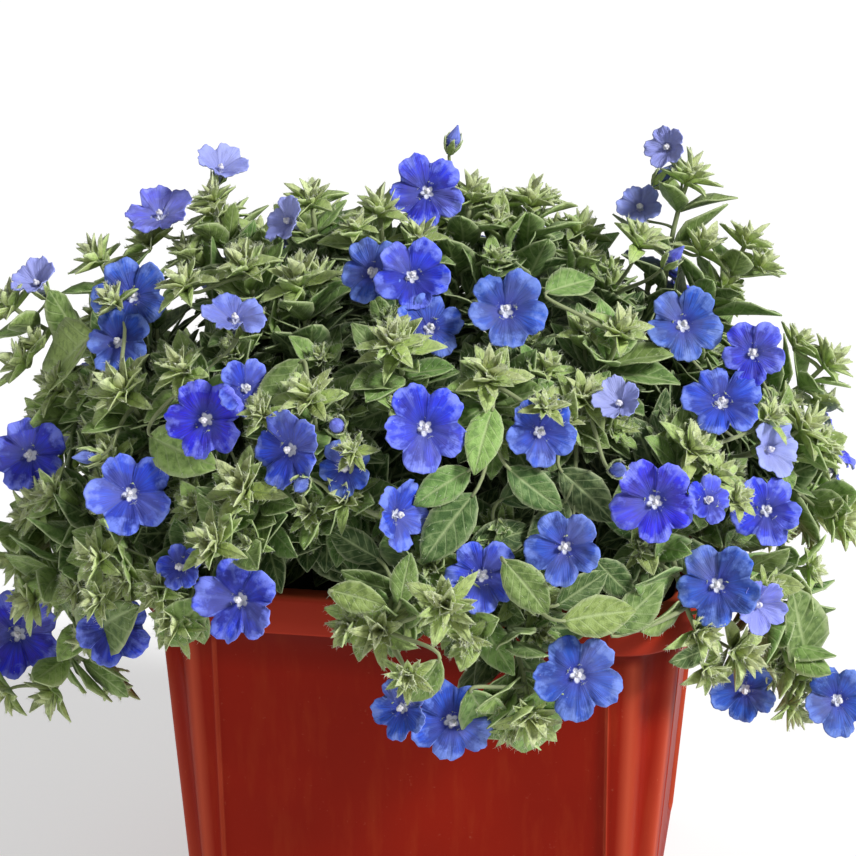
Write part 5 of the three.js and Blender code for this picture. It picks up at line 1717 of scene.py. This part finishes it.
for spray in SPRAYS:
    name = spray["node"].removeprefix("leafy_stem_")
    points, faces, facts, ages = leaf_mesh(spray)
    leaf_piece = make_piece(
        f"leaves_{name}", points, faces, finishes["leaf"], {"blade": facts, "age": ages}
    )
    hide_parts(spray["node"])
    count = len(spray["rods"])
    each = len(spray["rods"][0])
    stem_faces = [many(f, count, each) for f in tube_faces(STEM_SAMPLES, STEM_SIDES)]
    make_piece(
        f"stems_{name}", np.concatenate(spray["rods"]), stem_faces, finishes["stem"],
        {"age": np.concatenate(spray["rod_ages"])},
    )
    points, faces, ages = hair_mesh(spray)
    make_piece(f"hairs_{name}", points, [faces], finishes["hair"], {"age": ages})
print("leaf triangles:", sum(v for k, v in made_triangles.items() if k.startswith("leaves")))
print("hair triangles:", sum(v for k, v in made_triangles.items() if k.startswith("hairs")))
print("largest piece:", max(made_triangles.items(), key=lambda one: one[1]))
print("all triangles so far:", sum(made_triangles.values()))

# %% [markdown]
# ## Flowers
#
# A morning glory flower is one piece: five petals grown together into a funnel. Going out from the throat it
# follows a curve that is steep at first and nearly flat at the rim. Going round, the rim is fullest in the
# middle of each lobe and pulls in where two lobes meet. Each lobe tilts a little, like the vanes of a
# windmill, because the bud was twisted. The funnel narrows below the throat to a short tube. Five stamens
# and a stigma stand close together in the throat, so they read as one white dot.

# %% The funnel as a function of two parameters
LOBES, LOBE_COLUMNS = 5, 15
PETAL_REACH = np.array([0.075, 0.14, 0.22, 0.32, 0.44, 0.56, 0.68, 0.79, 0.88, 0.95, 1.0])
PETAL_THICKNESS = 0.3
# depth as a share of the tube, and radius
TUBE_RINGS = [(0.28, 1.5), (0.5, 1.15), (0.75, 1.0), (1.0, 1.0)]
lobe_across = np.tile(np.linspace(-0.5, 0.5, LOBE_COLUMNS, endpoint=False) + 0.5 / LOBE_COLUMNS, LOBES)
lobe_number = np.repeat(np.arange(LOBES), LOBE_COLUMNS)
lobe_angle = 72 * (lobe_number + lobe_across + 0.5)


def funnel(bloom, chance):
    """A flower's points, facts and paleness. With d across a lobe and r from throat to rim: rim R = half
    width x lobe's size x (1 - pull |2 d|^3 - notch e^-(d / 0.07)^2 + ragged sines); height = slope
    (r^1.3 - 1) - throat dip + twist r^2 2 d + tilt r^2 - curl near the rim - sag |2 d|^3 r^2 - fold
    + waves, times the half width."""
    rng = np.random.default_rng(int(chance * 1e6))
    half = bloom["across"] / 2
    d, r = lobe_across[None], PETAL_REACH[:, None]

    def per_lobe(low, high):
        """A random number for each lobe, given to all its columns."""
        return rng.uniform(low, high, LOBES)[lobe_number][None]

    ragged = np.sin(2 * math.pi * (d * 5 + per_lobe(0, 1))) + np.sin(2 * math.pi * (d * 11 + per_lobe(0, 1)))
    notch = per_lobe(0.0, 0.05) * np.exp(-(((d - per_lobe(-0.06, 0.06)) / 0.07) ** 2))
    size, pull = per_lobe(0.9, 1.05), per_lobe(0.22, 0.34)
    rim = 1.04 * half * size * (1 - pull * np.abs(2 * d) ** 3 - notch + 0.012 * ragged)
    slope = math.cos(math.radians(bloom["flare"]))
    height = half * (
        slope * (r**1.3 - 1)
        - 0.16 * np.exp(-((r / 0.2) ** 2))
        + per_lobe(0.02, 0.1) * r**2 * 2 * d
        + per_lobe(-0.12, 0.12) * r**2
        - per_lobe(-0.03, 0.16) * np.clip(r - 0.66, 0, 1) ** 2 * 8 * (1 - (2 * d) ** 2)
        - per_lobe(0.06, 0.2) * np.abs(2 * d) ** 3 * r**2
        - 0.03 * np.exp(-((d / 0.06) ** 2)) * r
        + 0.05 * r**2 * np.sin(2 * math.pi * (d * 2 + 1.3 * r + per_lobe(0, 1)))
        + 0.03 * r**2 * np.sin(2 * math.pi * (d * 5 - 2 * r + per_lobe(0, 1)))
    )
    a = np.radians(lobe_angle + bloom["phase"] + rng.normal(0, 1.5))[None]
    side, over = square_to(bloom["axis"])
    ring = side * np.cos(a)[..., None] + over * np.sin(a)[..., None]
    rise = (height + half * slope)[..., None]
    upper = bloom["centre"] + ring * (rim * r)[..., None] + bloom["axis"] * rise
    lower = upper[::-1] - PETAL_THICKNESS * bloom["axis"]
    tube = []
    for depth, radius in TUBE_RINGS:
        tube.append(bloom["centre"] + ring[0] * radius - bloom["axis"] * BLOOM_TUBE * depth)
    throat_top = bloom["centre"] + bloom["axis"] * (height[0].mean() + half * slope - 0.5)
    tube_foot = bloom["centre"] - bloom["axis"] * BLOOM_TUBE
    points = np.concatenate([
        upper.reshape(-1, 3), lower.reshape(-1, 3), np.concatenate(tube), throat_top[None], tube_foot[None],
    ])
    reach = np.concatenate([PETAL_REACH, PETAL_REACH[::-1], [0.04] * len(TUBE_RINGS)])
    facts = np.stack([
        np.tile(lobe_across, len(reach)), np.repeat(reach, len(lobe_across)),
        np.full(len(reach) * len(lobe_across), chance),
    ], 1)
    lobe_pale = np.clip((80 - bloom["flare"]) / 25, 0, 0.8) + 0.16 * per_lobe(0, 1)[0] ** 2
    pale = np.append(np.tile(lobe_pale, len(reach)), [0, 0]).clip(0, 1)
    pale[len(PETAL_REACH) * len(lobe_across) : len(facts)] = 1
    return points, np.concatenate([facts, [[0, 0, chance], [0, 0, chance]]]), pale


petal_faces = tube_faces(2 * len(PETAL_REACH) + len(TUBE_RINGS), LOBES * LOBE_COLUMNS)
stamen_points = []
rng = np.random.default_rng(23)
for node, members in blooms.items():
    points, facts, pales = [], [], []
    for bloom in members:
        found, fact, pale = funnel(bloom, rng.random())
        points.append(found)
        facts.append(fact)
        pales.append(pale)
        side, over = square_to(bloom["axis"])
        for k in range(5):
            a = math.radians(72 * k + rng.uniform(-14, 14) + bloom["phase"])
            flat = side * math.cos(a) + over * math.sin(a)
            foot = bloom["centre"] - bloom["axis"] * 1.0
            anther = foot + flat * rng.uniform(0.4, 0.6) + bloom["axis"] * rng.uniform(2.0, 2.5)
            stamen_points.append((foot, anther, rng.uniform(0.55, 0.7)))
        foot = bloom["centre"] - bloom["axis"]
        stamen_points.append((foot, foot + bloom["axis"] * 3.1, 0.55))
    each = len(points[0])
    piece = make_piece(
        f"petals_{node.removeprefix('bloom_')}", np.concatenate(points),
        [many(f, len(points), each) for f in petal_faces], finishes["petal"],
        {"petal": np.concatenate(facts), "pale": np.concatenate(pales)},
    )
    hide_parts(node)
print("flowers:", len(flower_list), "of", each, "points")

# %% Closed buds, each a spindle of five furled petals with twisted folds
BUD_SAMPLES, BUD_SIDES, BUD_LENGTH = 12, 20, 9
BUD_RADII = [0.8, 1.2, 1.9, 2.2, 1.7, 0.9, 0.25]
bud_points, bud_facts = [], []
for bud in BUDS:
    foot, axis = bud["foot"], bud["axis"]
    course = Course(foot - axis, axis, foot + axis * BUD_LENGTH, axis, [0, 1])
    bud_points.append(rod(course, BUD_RADII, BUD_SAMPLES, BUD_SIDES))
    t, turn = np.meshgrid(np.linspace(0, 1, BUD_SAMPLES), np.arange(BUD_SIDES) / BUD_SIDES, indexing="ij")
    across = (turn * 5 + 0.8 * t) % 1 - 0.5
    fact = np.stack([across, 0.5 + 0.5 * t, np.full(t.shape, rng.random())], -1).reshape(-1, 3)
    bud_facts.append(np.concatenate([fact, fact[:1], fact[-1:]]))
bud_faces = [many(f, len(BUDS), len(bud_points[0])) for f in tube_faces(BUD_SAMPLES, BUD_SIDES)]
bud_facts = np.concatenate(bud_facts)
make_piece(
    "buds", np.concatenate(bud_points), bud_faces, finishes["petal"],
    {"petal": bud_facts, "pale": np.full(len(bud_facts), 0.3)},
)
print("buds:", len(BUDS))

# %% Stamens, and a stigma in the middle of each flower
feet, tips, sizes = (np.array(x) for x in zip(*stamen_points))
n = len(feet)
way = unit(tips - feet)
side = unit(np.cross(way, UP + 0.01))
over = np.cross(way, side)
a = np.linspace(0, 2 * math.pi, 5, endpoint=False)
ring = side[:, None] * np.cos(a)[:, None] + over[:, None] * np.sin(a)[:, None]
anther = sizes[:, None, None]
levels = [
    (feet, 0.16), (tips - way * 0.7, 0.16), (tips - way * 0.45, 0.9 * anther), (tips, 1.1 * anther),
    (tips + way * 0.5, 0.6 * anther),
]
rows = [at[:, None] + ring * radius for at, radius in levels]
rows += [feet[:, None], (tips + way * 0.62)[:, None]]
stamen_rows = np.concatenate(rows, 1)
stamen_faces = [many(f, n, stamen_rows.shape[1]) for f in tube_faces(len(levels), 5)]
make_piece("stamens", stamen_rows, stamen_faces, finishes["stamen"])
print("stamens:", n)

# %% [markdown]
# ## Floor, light and camera
#
# The plant stands on a plain pale floor. The floor glows a little, as a light table does, so that shadows on
# it stay faint. One soft sun from the right, the front and above does most of the work, and the white
# surroundings fill the rest. The camera looks down a little from the front with a long lens, as for a plant
# catalogue.

# %% Floor and light
FLOOR_REACH = 15.0
SUN_PLACE, SUN_AIM, SUN_ENERGY, SUN_SPREAD = (0.9, -0.36, 0.95), (0, 0, 0.15), 3.4, 14
material, tree, shader = new_finish("pale_floor")
plug(tree, shader, {
    "Base Color": "#c6c6c6", "Roughness": 0.9, "Emission Color": "#ffffff", "Emission Strength": 0.5,
})
corners = [(FLOOR_REACH * x, FLOOR_REACH * y, 0) for x, y in ((-1, -1), (1, -1), (1, 1), (-1, 1))]
floor_mesh = bpy.data.meshes.new("floor")
floor_mesh.from_pydata(corners, [], [(0, 1, 2, 3)])
floor_mesh.materials.append(material)
floor = bpy.data.objects.new("floor", floor_mesh)
bpy.context.scene.collection.objects.link(floor)

world = bpy.data.worlds.new("studio")
bpy.context.scene.world = world
world.use_nodes = True
plug(world.node_tree, world.node_tree.nodes["Background"], {"Color": "#ffffff", "Strength": 0.3})

sun_data = bpy.data.lights.new("key", "SUN")
sun_data.energy = SUN_ENERGY
sun_data.angle = math.radians(SUN_SPREAD)
sun = bpy.data.objects.new("key", sun_data)
sun.location = SUN_PLACE
sunlight = mathutils.Vector(SUN_AIM) - mathutils.Vector(SUN_PLACE)
sun.rotation_euler = sunlight.to_track_quat("-Z", "Y").to_euler()
bpy.context.scene.collection.objects.link(sun)

# %% Camera
camera_data = bpy.data.cameras.new("camera")
camera_data.sensor_width = 36
camera_data.lens = FOCAL / IMAGE_SIZE * 36
camera = bpy.data.objects.new("camera", camera_data)
camera.location = EYE * MM
camera.rotation_euler = mathutils.Vector(-BACK).to_track_quat("-Z", "Y").to_euler()
bpy.context.scene.collection.objects.link(camera)
bpy.context.scene.camera = camera
bpy.context.scene.view_settings.view_transform = "Standard"
